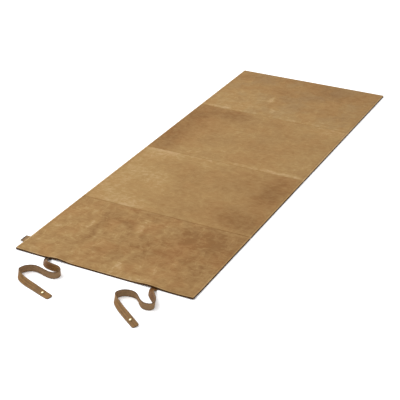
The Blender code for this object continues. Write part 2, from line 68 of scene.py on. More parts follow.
# Places that the frame gives
HALF_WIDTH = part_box("base_2")[1].x
NEAR_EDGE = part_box("base_1")[0].y
FAR_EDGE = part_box("base_4")[1].y
BASE_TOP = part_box("base_2")[1].z
LEATHER_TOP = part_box("top_leather_2")[1].z
SEAM_BOXES = [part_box(f"seam_strip_{number}") for number in (1, 2, 3)]
SEAM_1, SEAM_2, SEAM_3 = [(low.y + high.y) / 2 for low, high in SEAM_BOXES]
BAND_HALF, FIN_HALF = [(high.y - low.y) / 2 for low, high in SEAM_BOXES[:2]]
BASE_FROM_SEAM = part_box("base_3")[0].y - SEAM_2
STRAP_ROOT_X = {side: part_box(f"strap_tail_{side}")[0].x for side in ("left", "right")}
TAIL_OUTER_Y, TAIL_INNER_Y = [corner.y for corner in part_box("strap_tail_left")]
PANEL_ENDS = {
    1: (NEAR_EDGE, SEAM_1),
    2: (SEAM_1, SEAM_2),
    3: (SEAM_2, SEAM_3),
    4: (SEAM_3, FAR_EDGE),
}

# Gap round what is let into the underlay, and under the seams
FIT_GAP = 0.0003
# How far a cutter reaches out past a tail and below the floor, and how high it is
CUT_OUT = 0.04
CUT_BELOW = 0.002
CUT_ABOVE = 0.02
# Spacing of the underlay's mesh, and the cells along a seam and along the label tab
UNDERLAY_CELL = 0.014
SEAM_CELLS = 96
TAB_CELLS = 24
# Where the mesh's lines lie in a round corner, as shares of its radius
CORNER_SHARES = (0.0, 0.3, 0.52, 0.75)
# The label tab: rows of its mesh inside its fold, steps round the fold, and how much
# its sewn edge is softened
TAB_ROWS = (0.0075, 0.0035)
FOLD_STEPS = 8
TAB_SOFTENED = 0.0001
RIM_SEGMENTS = 2
MERGE_DISTANCE = 0.00001
# The hide lies flat at its sewn edges and has its full relief this far inside them
RELIEF_FADE = 0.035

# The valley of a seam, from its rim down: half its width there, and the height over the
# leather
SEAM_VALLEY = (
    (0.0028, 0.00012), (0.0019, 0.00005), (0.0012, -0.00025), (0.0007, -0.0007),
    (0.0003, -0.0012),
)
VALLEY_DEPTH = 0.0015
VALLEY_HALF = 0.0032
# Stitch tension makes the valley wander, and its depth vary, by up to this much
VALLEY_WANDER = 0.00035
VALLEY_RIPPLE = 0.00018
# A share of a seam's band; the seams carry it, but nothing uses it
BAND_BENDS = 0.85
# How far from each seam's middle the rows of stitches along the mat end
STITCH_FROM_SEAM = {SEAM_1: 0.0095, SEAM_2: 0.006, SEAM_3: 0.0095}

# Each lamp's place, width and watts
LAMPS = {
    "window_left": ((-3.4, -0.4, 3.6), 4.6, 163.0),
    "fill_right": ((2.4, -2.2, 2.2), 2.5, 9.0),
}
LAMPS_FACE = Vector((0.0, -0.3, 0.0))
# The floor's colour to the mat's light, and to the camera and in reflections
FLOOR_LIT = (0.93, 0.935, 0.94, 1.0)
FLOOR_SEEN = (1.56, 1.57, 1.60, 1.0)
FLOOR_WIDTH = 30.0
FLOOR_DEPTH = 0.0002
# The world's strength where it lights the mat
WORLD_LIT = 0.55
# The camera's angles are in degrees and its lens in millimetres
CAMERA_AZIMUTH = 27.8348
CAMERA_ELEVATION = 28.5720
CAMERA_ROLL = -0.5600
CAMERA_TARGET = Vector((0.05762, -0.31930, 0.0))
CAMERA_DISTANCE = 4.03670
CAMERA_LENS = 96.696

# The near edge stands off the floor beside each strap's root: how far along +X from the
# strap's root it is highest, how far it reaches to each side, and its height
EDGE_BUMPS = {
    "left": (0.048, 0.057, 0.063, 0.0055),
    "right": (-0.010, 0.071, 0.079, 0.0048),
}
# How far in from the near edge they reach
BUMP_DEPTH = 0.100
# The near corners curl up: by side, how far along X and along Y, and how high
CURLED_CORNERS = {-1: (0.110, 0.060, 0.0020), 1: (0.060, 0.070, 0.0025)}

# Each strap's lower edge, from the corner of its root at the lower X: metres along +X,
# metres out from the mat's edge, and its lean in degrees, where 90 is flat and less
# than 0 leans the other way
STRAP_ROUTES = {
    "left": (
        (0.0000, 0.0035, 90), (0.0025, 0.0145, 68), (0.0104, 0.0302, 45),
        (0.0205, 0.0441, 31), (0.0401, 0.0556, 26), (0.0660, 0.0596, 23),
        (0.0916, 0.0610, 12), (0.1081, 0.0724, 2), (0.1068, 0.0899, -3),
        (0.0880, 0.0989, -7), (0.0596, 0.0944, -7), (0.0303, 0.0873, -7),
        (0.0076, 0.0897, -7), (-0.0125, 0.1065, -6), (-0.0192, 0.1307, 5),
        (-0.0026, 0.1556, 35), (0.0277, 0.1726, 50), (0.0668, 0.1852, 62),
        (0.1086, 0.1981, 76), (0.1511, 0.2104, 85),
    ),
    "right": (
        (0.0000, 0.0035, 90), (0.0012, 0.0140, 88), (0.0057, 0.0258, 68),
        (0.0135, 0.0421, 50), (0.0298, 0.0592, 39), (0.0487, 0.0758, 26),
        (0.0627, 0.0911, 10), (0.0656, 0.1038, 0), (0.0563, 0.1135, -6),
        (0.0382, 0.1147, -7), (0.0214, 0.1043, -3), (0.0042, 0.0859, 0),
        (-0.0129, 0.0744, -2), (-0.0369, 0.0729, -7), (-0.0601, 0.0842, -8),
        (-0.0721, 0.1063, 2), (-0.0622, 0.1308, 28), (-0.0368, 0.1561, 46),
        (0.0044, 0.1856, 60), (0.0617, 0.2229, 80),
    ),
}
# Steps along the curve between two of these points
ROUTE_SAMPLES = 20
OUTWARDS = Vector((0.0, -1.0, 0.0))
UP = Vector((0.0, 0.0, 1.0))
# A strap's heading is taken over this distance to either side
HEADING_STEP = 0.004
# The rows of mesh in a strap's rounded tip
TIP_ROWS = 6
# The tail is pared to its thickness over this distance, which starts just outside its root
PARED_FROM = 0.0005
PARED_OVER = 0.0025
# The attribute that the straps' pattern follows counts from this far inside their root
PATTERN_START = 0.1

# Each stud from its shank out and up to its dome's foot: radius and height over the strap
STUD_RINGS = (
    (0.0019, -0.0040), (0.0019, 0.0002), (0.0052, 0.0002), (0.0057, 0.00045),
    (0.0058, 0.0007), (0.0057, 0.0009), (0.0052, 0.00105), (0.0049, 0.0011),
)
# Its dome, and how far its top stands above the strap
DOME_RADIUS = 0.0049
DOME_FOOT = 0.0011
DOME_HEIGHT = 0.0021
DOME_STEPS = 10
STUD_CROWN = 0.0032
ROUND_SEGMENTS = 48


# Lighter and darker places in each hide: X, Y, half width, half length, turn in degrees,
# and how much lighter (+) or darker (-) the middle is
HIDE_MARKS = {
    1: (
        (0.23, -0.58, 0.17, 0.12, 0, -0.30),
        (0.165, -0.622, 0.05, 0.035, 20, -0.20),
        (0.02, -0.73, 0.16, 0.12, 10, -0.06),
        (-0.075, -0.605, 0.06, 0.03, -30, -0.14),
        (-0.165, -0.61, 0.06, 0.05, 15, -0.16),
        (-0.025, -0.62, 0.020, 0.10, 18, 0.30),
        (0.10, -0.885, 0.24, 0.08, 0, 0.24),
        (-0.30, -0.80, 0.26, 0.22, 0, 0.20),
        (0.28, -0.72, 0.14, 0.26, 0, -0.16),
        (-0.17, -0.70, 0.016, 0.11, 4, -0.24),
        (-0.207, -0.66, 0.012, 0.09, -3, 0.20),
        (0.192, -0.70, 0.010, 0.26, 0, 0.16),
        (0.172, -0.70, 0.012, 0.22, 0, -0.12),
        (-0.320, -0.865, 0.022, 0.040, 20, -0.26),
        (0.14, -0.71, 0.12, 0.17, 0, -0.12),
    ),
    2: (
        (0.29, -0.15, 0.10, 0.21, 0, -0.38),
        (0.11, -0.13, 0.17, 0.16, 0, -0.14),
        (0.27, -0.41, 0.16, 0.15, 0, -0.34),
        (-0.25, -0.35, 0.26, 0.34, 0, 0.22),
        (-0.12, -0.03, 0.42, 0.10, 0, 0.20),
        (-0.29, -0.06, 0.13, 0.12, 0, 0.18),
        (-0.13, -0.46, 0.12, 0.06, 0, 0.14),
        (0.105, -0.212, 0.020, 0.020, 0, -0.20),
        (0.105, -0.212, 0.009, 0.009, 0, 0.26),
    ),
    3: (
        (-0.15, 0.43, 0.13, 0.10, 0, -0.30),
        (0.29, 0.43, 0.14, 0.08, 0, 0.14),
        (-0.315, 0.22, 0.12, 0.62, 0, -0.40),
        (-0.19, 0.32, 0.09, 0.20, 0, -0.15),
        (0.02, 0.42, 0.10, 0.08, 0, -0.10),
        (-0.05, 0.06, 0.16, 0.10, 0, 0.08),
        (0.28, 0.05, 0.12, 0.12, 0, 0.07),
    ),
    4: (
        (0.22, 0.85, 0.20, 0.13, 0, -0.22),
        (0.04, 0.79, 0.22, 0.13, 0, -0.14),
        (-0.05, 0.90, 0.24, 0.06, 0, -0.18),
        (-0.25, 0.58, 0.24, 0.17, 0, 0.18),
        (0.02, 0.53, 0.45, 0.08, 0, 0.13),
        (-0.28, 0.86, 0.10, 0.08, 0, -0.14),
        (-0.082, 0.655, 0.021, 0.056, 6, 0.40),
        (-0.040, 0.547, 0.012, 0.032, 8, 0.34),
    ),
}
# How pale each hide's edge is at its near and far seam, at the left and at the right side
SEAM_TONE_SHIFT = {
    1: ((0.0, 0.0), (-0.05, -0.06)),
    2: ((0.06, 0.06), (0.08, -0.02)),
    3: ((0.00, 0.25), (0.04, 0.04)),
    4: ((0.20, 0.14), (0.0, 0.0)),
}
# How strong the painted shade in each seam's valley is
SEAM_SHADE = {SEAM_1: 0.50, SEAM_2: 0.12, SEAM_3: 0.20}
# How strong, how fine and how rough the mottling is in each hide
HIDE_MOTTLE = {
    1: (1.20, 29.0, 0.52), 2: (0.58, 38.0, 0.62), 3: (0.62, 38.0, 0.62), 4: (0.66, 38.0, 0.62),
}
# How strong the fine streaks and the nap are in each hide
HIDE_STREAKS = {1: 0.80, 2: 0.56, 3: 0.62, 4: 0.62}
# How pale each hide is, from 0 for its darkest colour to 1 for its palest
HIDE_TONE = {1: 0.40, 2: 0.50, 3: 0.53, 4: 0.47}
# How red and how grey each hide's patches are
HIDE_HUES = {1: (0.26, 0.04), 2: (0.12, 0.03), 3: (0.15, 0.05), 4: (0.14, 0.16)}


def linear(hex_colour):
    """Return an sRGB hex colour as linear RGBA."""
    channels = []
    for start in (0, 2, 4):
        value = int(hex_colour[start:start + 2], 16) / 255
        dark = value <= 0.04045
        channels.append(value / 12.92 if dark else ((value + 0.055) / 1.055) ** 2.4)
    return (*channels, 1.0)


def toned(base, share, added=0.0):
    """Return a colour made darker or lighter."""
    return [min(channel * share + added, 1.0) for channel in base[:3]] + [1.0]


def smoothstep(value):
    """Ease from 0 to 1."""
    value = min(max(value, 0.0), 1.0)
    return value * value * (3 - 2 * value)


def edge_lift(x, y):
    """Return how far the near end of the mat stands off the floor at a point."""
    inboard = y - NEAR_EDGE
    height = 0.0
    for side, (offset, span_left, span_right, top) in EDGE_BUMPS.items():
        middle = STRAP_ROOT_X[side] + offset
        across = 1 - ((middle - x) / span_left if x < middle else (x - middle) / span_right)
        height += top * smoothstep(across) * smoothstep(1 - inboard / BUMP_DEPTH)
    for side, (span, depth, top) in CURLED_CORNERS.items():
        corner = smoothstep(1 - (HALF_WIDTH - side * x) / span)
        height += top * corner * smoothstep(1 - inboard / depth)
    return height


def length(name, default, description):
    """Return a setting that holds a length."""
    return bpy.props.FloatProperty(
        name=name, default=default, description=description, unit="LENGTH"
    )


def dye(name, hex_colour, description):
    """Return a setting that holds a colour."""
    return bpy.props.FloatVectorProperty(
        name=name, default=linear(hex_colour), description=description, size=4, subtype="COLOR"
    )


class MatSizes(bpy.types.PropertyGroup):
    """Sizes that a user might change."""

    leather_inset: length(
        "Leather inset", 0.0008, "How far the leather stops short of the underlay's edge"
    )
    leather_lift: length("Leather lift", 0.0001, "Gap between the underlay and the leather")
    cell: length("Cell", 0.006, "Spacing of the leather's mesh")
    corner_radius: length("Corner radius", 0.005, "Radius of the mat's four corners")
    leather_edge: length("Leather edge", 0.00045, "Radius of the leather's cut edges")
    underlay_edge: length("Underlay edge", 0.0006, "Radius of the underlay's edges")
    relief: length("Relief", 0.0006, "How much the hide's surface rises and sinks")
    strap_width: length("Strap width", 0.025, "Width of the fastening straps")
    strap_thickness: length("Strap thickness", 0.0026, "Thickness of the fastening straps")
    tail_thickness: length("Tail thickness", 0.0012, "Thickness of the straps' tails under the mat")
    tail_ramp: length(
        "Tail ramp", 0.010, "Length over which a tail rises from the floor to the mat"
    )
    strap_step: length("Strap step", 0.003, "Spacing of the strap's sections along its length")
    root_straight: length(
        "Root, straight", 0.012, "Length over which a strap turns away from straight out"
    )
    strap_tip_corner: length("Strap tip corner", 0.006, "Radius of the corners at the strap's tip")
    stud_from_tip: length("Stud from tip", 0.036, "How far the stud sits from the strap's tip")
    stitch_pitch: length("Stitch pitch", 0.0048, "Distance from one stitch to the next")
    stitch_length: length("Stitch length", 0.0036, "Visible length of one stitch")
    stitch_radius: length("Thread radius", 0.0004, "Radius of the sewing thread")
    stitch_from_edge: length(
        "Stitches from edge", 0.0098, "Distance of the sewing from the mat's edge"
    )


class MatColours(bpy.types.PropertyGroup):
    """Colours that a user might change."""

    leather_dark: dye("Leather, darkest", "90683C", "Darkest, reddest places in the tan hide")
    leather_brown: dye("Leather, brown", "A07A4B", "Browner places in the tan hide")
    leather_tan: dye("Leather, tan", "AA8554", "The tan hide's usual colour")
    leather_light: dye("Leather, light", "B4915D", "Lighter, yellower places in the tan hide")
    leather_pale: dye("Leather, palest", "C7A678", "Rubbed places in the tan hide")
    underlay: dye("Underlay", "4A3016", "Dark rubber under the leather")
    strap_grain: dye("Strap, grain", "876234", "Grain side of the straps")
    strap_flesh: dye("Strap, flesh", "9A7A59", "Flesh side of the straps")
    brass: dye("Brass", "EAD6A8", "Studs, washers and sockets")
    thread: dye("Thread", "A9834F", "Waxed sewing thread")


def sizes():
    """Return the scene's size settings."""
    return bpy.context.scene.mat_sizes


def colours():
    """Return the scene's colour settings."""
    return bpy.context.scene.mat_colours


# Modelling


def begin():
    """Select nothing, so that what is added next is alone."""
    bpy.ops.object.select_all(action="DESELECT")


def select_only(obj):
    """Select one object and make it active."""
    begin()
    obj.select_set(True)
    bpy.context.view_layer.objects.active = obj


def named(name):
    """Name the object that was just added."""
    obj = bpy.context.object
    obj.name = name
    obj.data.name = name
    return obj


@contextmanager
def editing(obj):
    """Open a piece in edit mode with all its edges selected, and leave edit mode after."""
    select_only(obj)
    bpy.ops.object.mode_set(mode="EDIT")
    bpy.ops.mesh.select_mode(type="EDGE")
    bpy.ops.mesh.select_all(action="SELECT")
    yield
    bpy.ops.object.mode_set(mode="OBJECT")


def select_edges(obj, test):
    """Select only the edges that pass a test, in edit mode."""
    bpy.ops.mesh.select_all(action="DESELECT")
    mesh = bmesh.from_edit_mesh(obj.data)
    for edge in mesh.edges:
        edge.select_set(test(edge))
    bmesh.update_edit_mesh(obj.data)


def pull_up(height):
    """Extrude what is selected straight up."""
    bpy.ops.mesh.extrude_region_move(TRANSFORM_OT_translate={"value": (0.0, 0.0, height)})


def recalculate(obj):
    """Turn a closed shape's faces outwards."""
    with editing(obj):
        bpy.ops.mesh.normals_make_consistent(inside=False)


def smooth(obj, degrees=40):
    """Shade smooth, with edges sharper than an angle left crisp."""
    select_only(obj)
    bpy.ops.object.shade_smooth_by_angle(angle=math.radians(degrees))


def apply_modifier(obj, kind, **settings):
    """Add a modifier, set it and apply it."""
    select_only(obj)
    modifier = obj.modifiers.new(kind.title(), kind)
    for name, value in settings.items():
        setattr(modifier, name, value)
    bpy.ops.object.modifier_apply(modifier=modifier.name)


def cut_with(cutter, obj):
    """Cut one object out of another and remove the cutter."""
    apply_modifier(obj, "BOOLEAN", operation="DIFFERENCE", solver="EXACT", object=cutter)
    bpy.data.objects.remove(cutter, do_unlink=True)


def cut_box(obj, low, high):
    """Cut the box between two corners out of a piece."""
    begin()
    bpy.ops.mesh.primitive_cube_add(size=1.0)
    cutter = named("cutter")
    for vert in cutter.data.vertices:
        for axis in range(3):
            vert.co[axis] = low[axis] if vert.co[axis] < 0 else high[axis]
    cut_with(cutter, obj)


def lift_near_end(obj):
    """Raise a flat piece of the near end as the mat's edge stands off the floor."""
    for vert in obj.data.vertices:
        vert.co.z += edge_lift(vert.co.x, vert.co.y)


def add_grid(name, columns, rows):
    """Add a grid of so many cells, and return it with each vertex's column and row."""
    begin()
    bpy.ops.mesh.primitive_grid_add(x_subdivisions=columns, y_subdivisions=rows, size=1.0)
    obj = named(name)
    places = [
        (round((vert.co.x + 0.5) * columns), round((vert.co.y + 0.5) * rows))
        for vert in obj.data.vertices
    ]
    return obj, places


def close_bar(obj, degrees):
    """Close a grid that was rolled up into a bar, along its side and at its ends."""
    with editing(obj):
        bpy.ops.mesh.remove_doubles(threshold=MERGE_DISTANCE)
        select_edges(obj, lambda edge: edge.is_boundary)
        bpy.ops.mesh.edge_face_add()
    recalculate(obj)
    smooth(obj, degrees)


def spaced(start, end, cell, round_start, round_end):
    """Return even places between two ends, with closer ones where a corner is round."""
    radius = sizes().corner_radius
    low = start + radius * round_start
    high = end - radius * round_end
    count = max(round((high - low) / cell), 1)
    places = [low + (high - low) * step / count for step in range(count + 1)]
    if round_start:
        places = [start + share * radius for share in CORNER_SHARES] + places
    if round_end:
        places += [end - share * radius for share in reversed(CORNER_SHARES)]
    return places


def round_corner(x, y, half_width, outer_ends):
    """Return a point of a sheet, drawn in where the sheet's outer corner is round."""
    radius = sizes().corner_radius
    across = (abs(x) - half_width + radius) / radius
    for end, inward in outer_ends:
        along = ((end + inward * radius) - y) * inward / radius
        if across > 0 and along > 0:
            out_x = half_width - radius + radius * across * math.sqrt(1 - along * along / 2)
            y = end + inward * radius * (1 - along * math.sqrt(1 - across * across / 2))
            return math.copysign(out_x, x), y
    return x, y


def panel_slab(name, number, half_width, insets, low, high, cell, rim):
    """Make one panel's slab and return it with its two ends.

    Insets say how far it stops short of each end.  Its corners and its rim are rounded
    where they are the mat's own, and its ends at a seam stay square.
    """
    start, end = PANEL_ENDS[number]
    low_y = start + insets[start]
    high_y = end - insets[end]
    at_near = start == NEAR_EDGE
    at_far = end == FAR_EDGE
    outer_ends = [(low_y, 1)] * at_near + [(high_y, -1)] * at_far
    square_ends = [low_y] * (not at_near) + [high_y] * (not at_far)
    columns = spaced(-half_width, half_width, cell, True, True)
    rows = spaced(low_y, high_y, cell, at_near, at_far)
    obj, places = add_grid(name, len(columns) - 1, len(rows) - 1)
    for vert, (column, row) in zip(obj.data.vertices, places):
        vert.co = (*round_corner(columns[column], rows[row], half_width, outer_ends), low)
    with editing(obj):
        pull_up(high - low)
    recalculate(obj)

    def on_rim(edge):
        walls = [face for face in edge.link_faces if abs(face.normal.z) < 0.5]
        middle = (edge.verts[0].co.y + edge.verts[1].co.y) / 2
        at_seam = any(abs(middle - end) < rim / 4 for end in square_ends)
        return len(walls) == 1 and len(edge.link_faces) == 2 and not at_seam

    with editing(obj):
        select_edges(obj, on_rim)
        bpy.ops.mesh.bevel(offset=rim, segments=RIM_SEGMENTS, affect="EDGES")
    return obj, low_y, high_y


def paint(obj, materials, choose=None):
    """Give a piece its materials, and choose one for each face."""
    obj.data.materials.clear()
    for mat in materials:
        obj.data.materials.append(mat)
    if choose:
        for face in obj.data.polygons:
            face.material_index = choose(face)


def hand_over(obj, slot, *replaced):
    """Hide the CAD nodes that a piece replaces."""
    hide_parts(*replaced)


# Materials

EASED = {"interpolation_type": "SMOOTHSTEP"}


def add_node(tree, kind, sockets=(), stops=(), **settings):
    """Add a node with its settings, its values or links by socket, and a ramp's stops.

    The sockets are given by name, or in the order in which the node shows them.  A node
    that is given as a value is linked by its first output in use, and text is a hex colour.
    """
    made = tree.nodes.new("ShaderNode" + kind)
    for name, value in settings.items():
        setattr(made, name, value)
    if isinstance(sockets, dict):
        pairs = [(made.inputs[name], value) for name, value in sockets.items()]
    else:
        pairs = zip([socket for socket in made.inputs if socket.enabled], sockets)
    for socket, value in pairs:
        if isinstance(value, bpy.types.Node):
            value = next(output for output in value.outputs if output.enabled)
        if isinstance(value, bpy.types.NodeSocket):
            tree.links.new(value, socket)
        else:
            socket.default_value = linear(value) if isinstance(value, str) else value
    if stops:
        ramp = made.color_ramp.elements
        ramp[0].position, ramp[1].position = stops[0][0], stops[-1][0]
        for position, _ in stops[1:-1]:
            ramp.new(position)
        for element, (_, colour) in zip(ramp, stops):
            element.color = linear(colour) if isinstance(colour, str) else colour
    return made


def empty_nodes(owner):
    """Empty a material's or a world's nodes, and return the function that adds new ones."""
    owner.use_nodes = True
    owner.node_tree.nodes.clear()
    return partial(add_node, owner.node_tree)


def new_material(name):
    """Return a new material, the function that adds its nodes, and Object coordinates."""
    mat = bpy.data.materials.new(name)
    node = empty_nodes(mat)
    return mat, node, node("TexCoord").outputs["Object"]


def distance_from(node, value, place):
    """Return how far a value is from a place, to either side."""
    offset = node("Math", (value, place), operation="SUBTRACT")
    return node("Math", (offset,), operation="ABSOLUTE")


def surface(node, colour, rough, relief, gloss):
    """Add the shader and link it to the output.

    Rough is a value, its range and the roughness at each end, relief a height with its
    strength and its depth in metres, and gloss what is the same all over.
    """
    height, strength, depth = relief
    bump = node("Bump", {"Height": height, "Strength": strength, "Distance": depth})
    rough = node("MapRange", rough)
    look = {"Base Color": colour, "Roughness": rough, "Normal": bump, **gloss}
    node("OutputMaterial", (node("BsdfPrincipled", look),))


@cache
def nubuck(number):
    """Nubuck: cowhide, vegetable tanned, buffed on its grain side with fine grit.

    The buffing leaves a short nap that scatters light, so it looks matt and slightly
    brighter at grazing angles, with cloudy tone shifts, growth wrinkles and rubbed marks.
    """
    mat, node, place = new_material(f"buffed nubuck cowhide {number}")
    tans = colours()
    across, along, _ = node("SeparateXYZ", (place,)).outputs
    start, end = PANEL_ENDS[number]

    # Marks are pushed about by up to 25 mm each way, so that no outline is a clean ellipse
    push = 0.050
    cloud = node("TexNoise", (place, 16.0, 3.0)).outputs["Color"]
    warped = node("VectorMath", (cloud, (push, push, 0.0), place), operation="MULTIPLY_ADD")
    tone = HIDE_TONE[number]
    for x, y, half_width, half_length, turn, amount in HIDE_MARKS[number]:
        middle = (x + push / 2, y + push / 2, 0.0)
        shape = ((0.0, 0.0, math.radians(turn)), (half_width, half_length, 1.0))
        mark = node("Mapping", (warped, middle, *shape), vector_type="TEXTURE")
        ball = node("TexGradient", (mark,), gradient_type="SPHERICAL").outputs["Fac"]
        eased = node("MapRange", (ball, 0.0, 0.8, 0.0, amount), **EASED)
        tone = node("Math", (eased, tone), operation="ADD")

    # Cloudy shifts 150 mm across, mottling 26 to 34 mm across, streaks 8 mm by 20 mm and
    # nap 2.5 mm across, each with its offset, scale, detail, roughness and amount
    mottle_amount, mottle_scale, mottle_roughness = HIDE_MOTTLE[number]
    streak_amount = HIDE_STREAKS[number]
    drawn = node("Mapping", {"Vector": place, "Scale": (0.4, 1.0, 1.0)})
    layers = (
        (place, (3.1, number * 7.0, 0.0), 6.5, 3.0, 0.5, 0.55),
        (warped, (0.0, number * 3.0, 0.0), mottle_scale, 5.0, mottle_roughness, mottle_amount),
        (drawn, (0.0, number * 5.0, 0.0), 120.0, 2.0, 0.55, streak_amount),
        (place, (0.0, 0.0, 0.0), 400.0, 2.0, 0.6, streak_amount * 0.45),
    )
    clouds = []
    for vector, offset, scale, detail, roughness, amount in layers:
        moved = node("Mapping", (vector, offset))
        clouds.append(node("TexNoise", (moved, scale, detail, roughness)))
        centred = node("Math", (clouds[-1], amount, -amount / 2), operation="MULTIPLY_ADD")
        tone = node("Math", (centred, tone), operation="ADD")
    mottle, streaks = clouds[1:3]

    # Growth wrinkles: thin pale ridges 40 to 110 mm long, drawn wider than the real ones,
    # which are half a millimetre wide and too fine to show
    drawn = node("Mapping", (
        warped, (number * 5.0, 0.0, 0.0), (0.0, 0.0, math.radians(25 + 40 * number)),
        (26.0, 9.0, 1.0),
    ))
    ridge = node("TexNoise", {"Vector": drawn, "Scale": 1.0, "Detail": 3.0, "Distortion": 0.6})
    crest = distance_from(node, ridge, 0.5)
    wrinkle = node("MapRange", (crest, 0.0, 0.035, 1.0, 0.0), **EASED)
    tone = node("Math", (wrinkle, 0.16 * mottle_amount, tone), operation="MULTIPLY_ADD")

    for seam, outward, (left, right) in zip((start, end), (1, -1), SEAM_TONE_SHIFT[number]):
        if seam not in SEAM_SHADE:
            continue
        # The hide is turned at a seam, and beside it its tone differs for 10 mm and fades back by 30 mm
        full, gone = seam + outward * 0.010, seam + outward * 0.030
        beside = node("MapRange", (along, full, gone, 1.0, 0.0), **EASED)
        amount = node("MapRange", (across, -0.15, 0.15, left, right), **EASED)
        broken = node("Math", (mottle, 1.6, 0.2), operation="MULTIPLY_ADD")
        amount = node("Math", (amount, broken), operation="MULTIPLY")
        tone = node("Math", (beside, amount, tone), operation="MULTIPLY_ADD")
        # Painted shade darkens the seam's valley, 3 mm to either side, in broken lengths
        from_seam = distance_from(node, along, seam)
        valley_shade = node("MapRange", (from_seam, 0.0008, 0.0030, SEAM_SHADE[seam], 0.0), **EASED)
        lengths = node("Math", (streaks, -2.4, 0.55), operation="MULTIPLY_ADD")
        tone = node("Math", (valley_shade, lengths, tone), operation="MULTIPLY_ADD")

    # The outer rim is paler for 2 mm, which fades by 7 mm
    from_middle = node("Math", (across,), operation="ABSOLUTE")
    rims = [(from_middle, HALF_WIDTH, -1)]
    rims += [(along, NEAR_EDGE, 1)] * (start == NEAR_EDGE)
    rims += [(along, FAR_EDGE, -1)] * (end == FAR_EDGE)
    for value, rim, inward in rims:
        full, gone = rim + inward * 0.0020, rim + inward * 0.0070
        rubbed = node("MapRange", (value, full, gone, 0.38, 0.0), **EASED)
        tone = node("Math", (rubbed, tone), operation="ADD")
    colour = node("ValToRGB", (tone,), stops=(
        (0.00, tans.leather_dark), (0.28, tans.leather_brown), (0.50, tans.leather_tan),
        (0.74, tans.leather_light), (1.00, tans.leather_pale),
    ))

    # The tanning took unevenly: redder and greyer patches 120 mm across
    hue = node("TexNoise", (warped, number * 4.0, 8.0, 3.0, 0.6), noise_dimensions="4D")
    red, grey = HIDE_HUES[number]
    for none, full, share, tint in ((0.42, 0.66, red, "B07A4C"), (0.58, 0.34, grey, "A18E72")):
        amount = node("MapRange", (hue, none, full, 0.0, share), **EASED)
        colour = node("Mix", (amount, colour, tint), data_type="RGBA")

    # The sewing pulls a channel 2.8 mm wide down into the hide.  The nap is drawn 0.7 mm
    # across, because the real one is too fine to show
    from_row = distance_from(node, from_middle, HALF_WIDTH - sizes().stitch_from_edge)
    channel = node("MapRange", (from_row, 0.0, 0.0014, -0.5, 0.0), **EASED)
    nap = node("TexNoise", (place, 1400.0, 2.0, 0.7))
    height = channel
    for layer, amount in ((mottle, 0.9), (wrinkle, 0.22), (nap, 0.12)):
        height = node("Math", (layer, amount, height), operation="MULTIPLY_ADD")
    gloss = {"Specular IOR Level": 0.12, "Sheen Weight": 0.04, "Sheen Roughness": 0.5}
    surface(node, colour, (mottle, 0.3, 0.7, 0.94, 0.80), (height, 0.7, 0.0012), gloss)
    return mat


@cache
def raw_leather():
    """Raw leather: the hide's cut edge and its flesh side, sliced and left undyed.

    The loose fibres make it pale, matt and slightly fuzzy.
    """
    mat, node, place = new_material("raw cut leather")
    fibre = node("TexNoise", (place, 700.0, 4.0, 0.7))
    colour = node("ValToRGB", (fibre,), stops=((0.3, "8A6238"), (0.7, "C39E6C")))
    surface(
        node, colour, (fibre, 0.0, 1.0, 0.98, 0.82), (fibre, 0.5, 0.0004), {"Specular IOR Level": 0.2}
    )
    return mat


@cache
def burnished_edge():
    """Burnished edge: the hide's cut edge, dyed brown, waxed and rubbed until it closes.

    Rubbing leaves it dark and lightly shiny, with the fibres just showing as fine lines.
    """
    mat, node, place = new_material("burnished leather edge")
    lines = node("Mapping", {"Vector": place, "Scale": (200.0, 200.0, 3000.0)})
    fibre = node("TexNoise", (lines, 1.0, 4.0, 0.6))
    browns = ((0.3, "2B1A0E"), (0.55, "4A301A"), (0.8, "6E4B2B"))
    colour = node("ValToRGB", (fibre,), stops=browns)
    surface(
        node, colour, (fibre, 0.0, 1.0, 0.55, 0.75), (fibre, 0.4, 0.0002), {"Specular IOR Level": 0.2}
    )
    return mat


@cache
def tab_leather():
    """Tab leather: thin calf, drum dyed tan and folded over on itself.

    Its outer 7 mm, the fold, is dyed dark brown and waxed.
    """
    mat, node, place = new_material("folded calf tab")
    across = node("SeparateXYZ", (place,)).outputs["X"]
    pores = node("TexVoronoi", (place, 1300.0))
    cloud = node("TexNoise", (place, 90.0, 4.0, 0.6))
    tan = node("ValToRGB", (cloud,), stops=((0.3, "7E5F3E"), (0.7, "A9834F")))
    brown = node("ValToRGB", (cloud,), stops=((0.3, "4A3724"), (0.7, "6E563A")))
    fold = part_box("label_tab")[0].x
    outer = node("MapRange", (across, fold + 0.0064, fold + 0.0074, 1.0, 0.0))
    colour = node("Mix", (outer, tan, brown), data_type="RGBA")
    surface(
        node, colour, (cloud, 0.0, 1.0, 0.50, 0.70), (pores, 0.3, 0.0002), {"Specular IOR Level": 0.3}
    )
    return mat


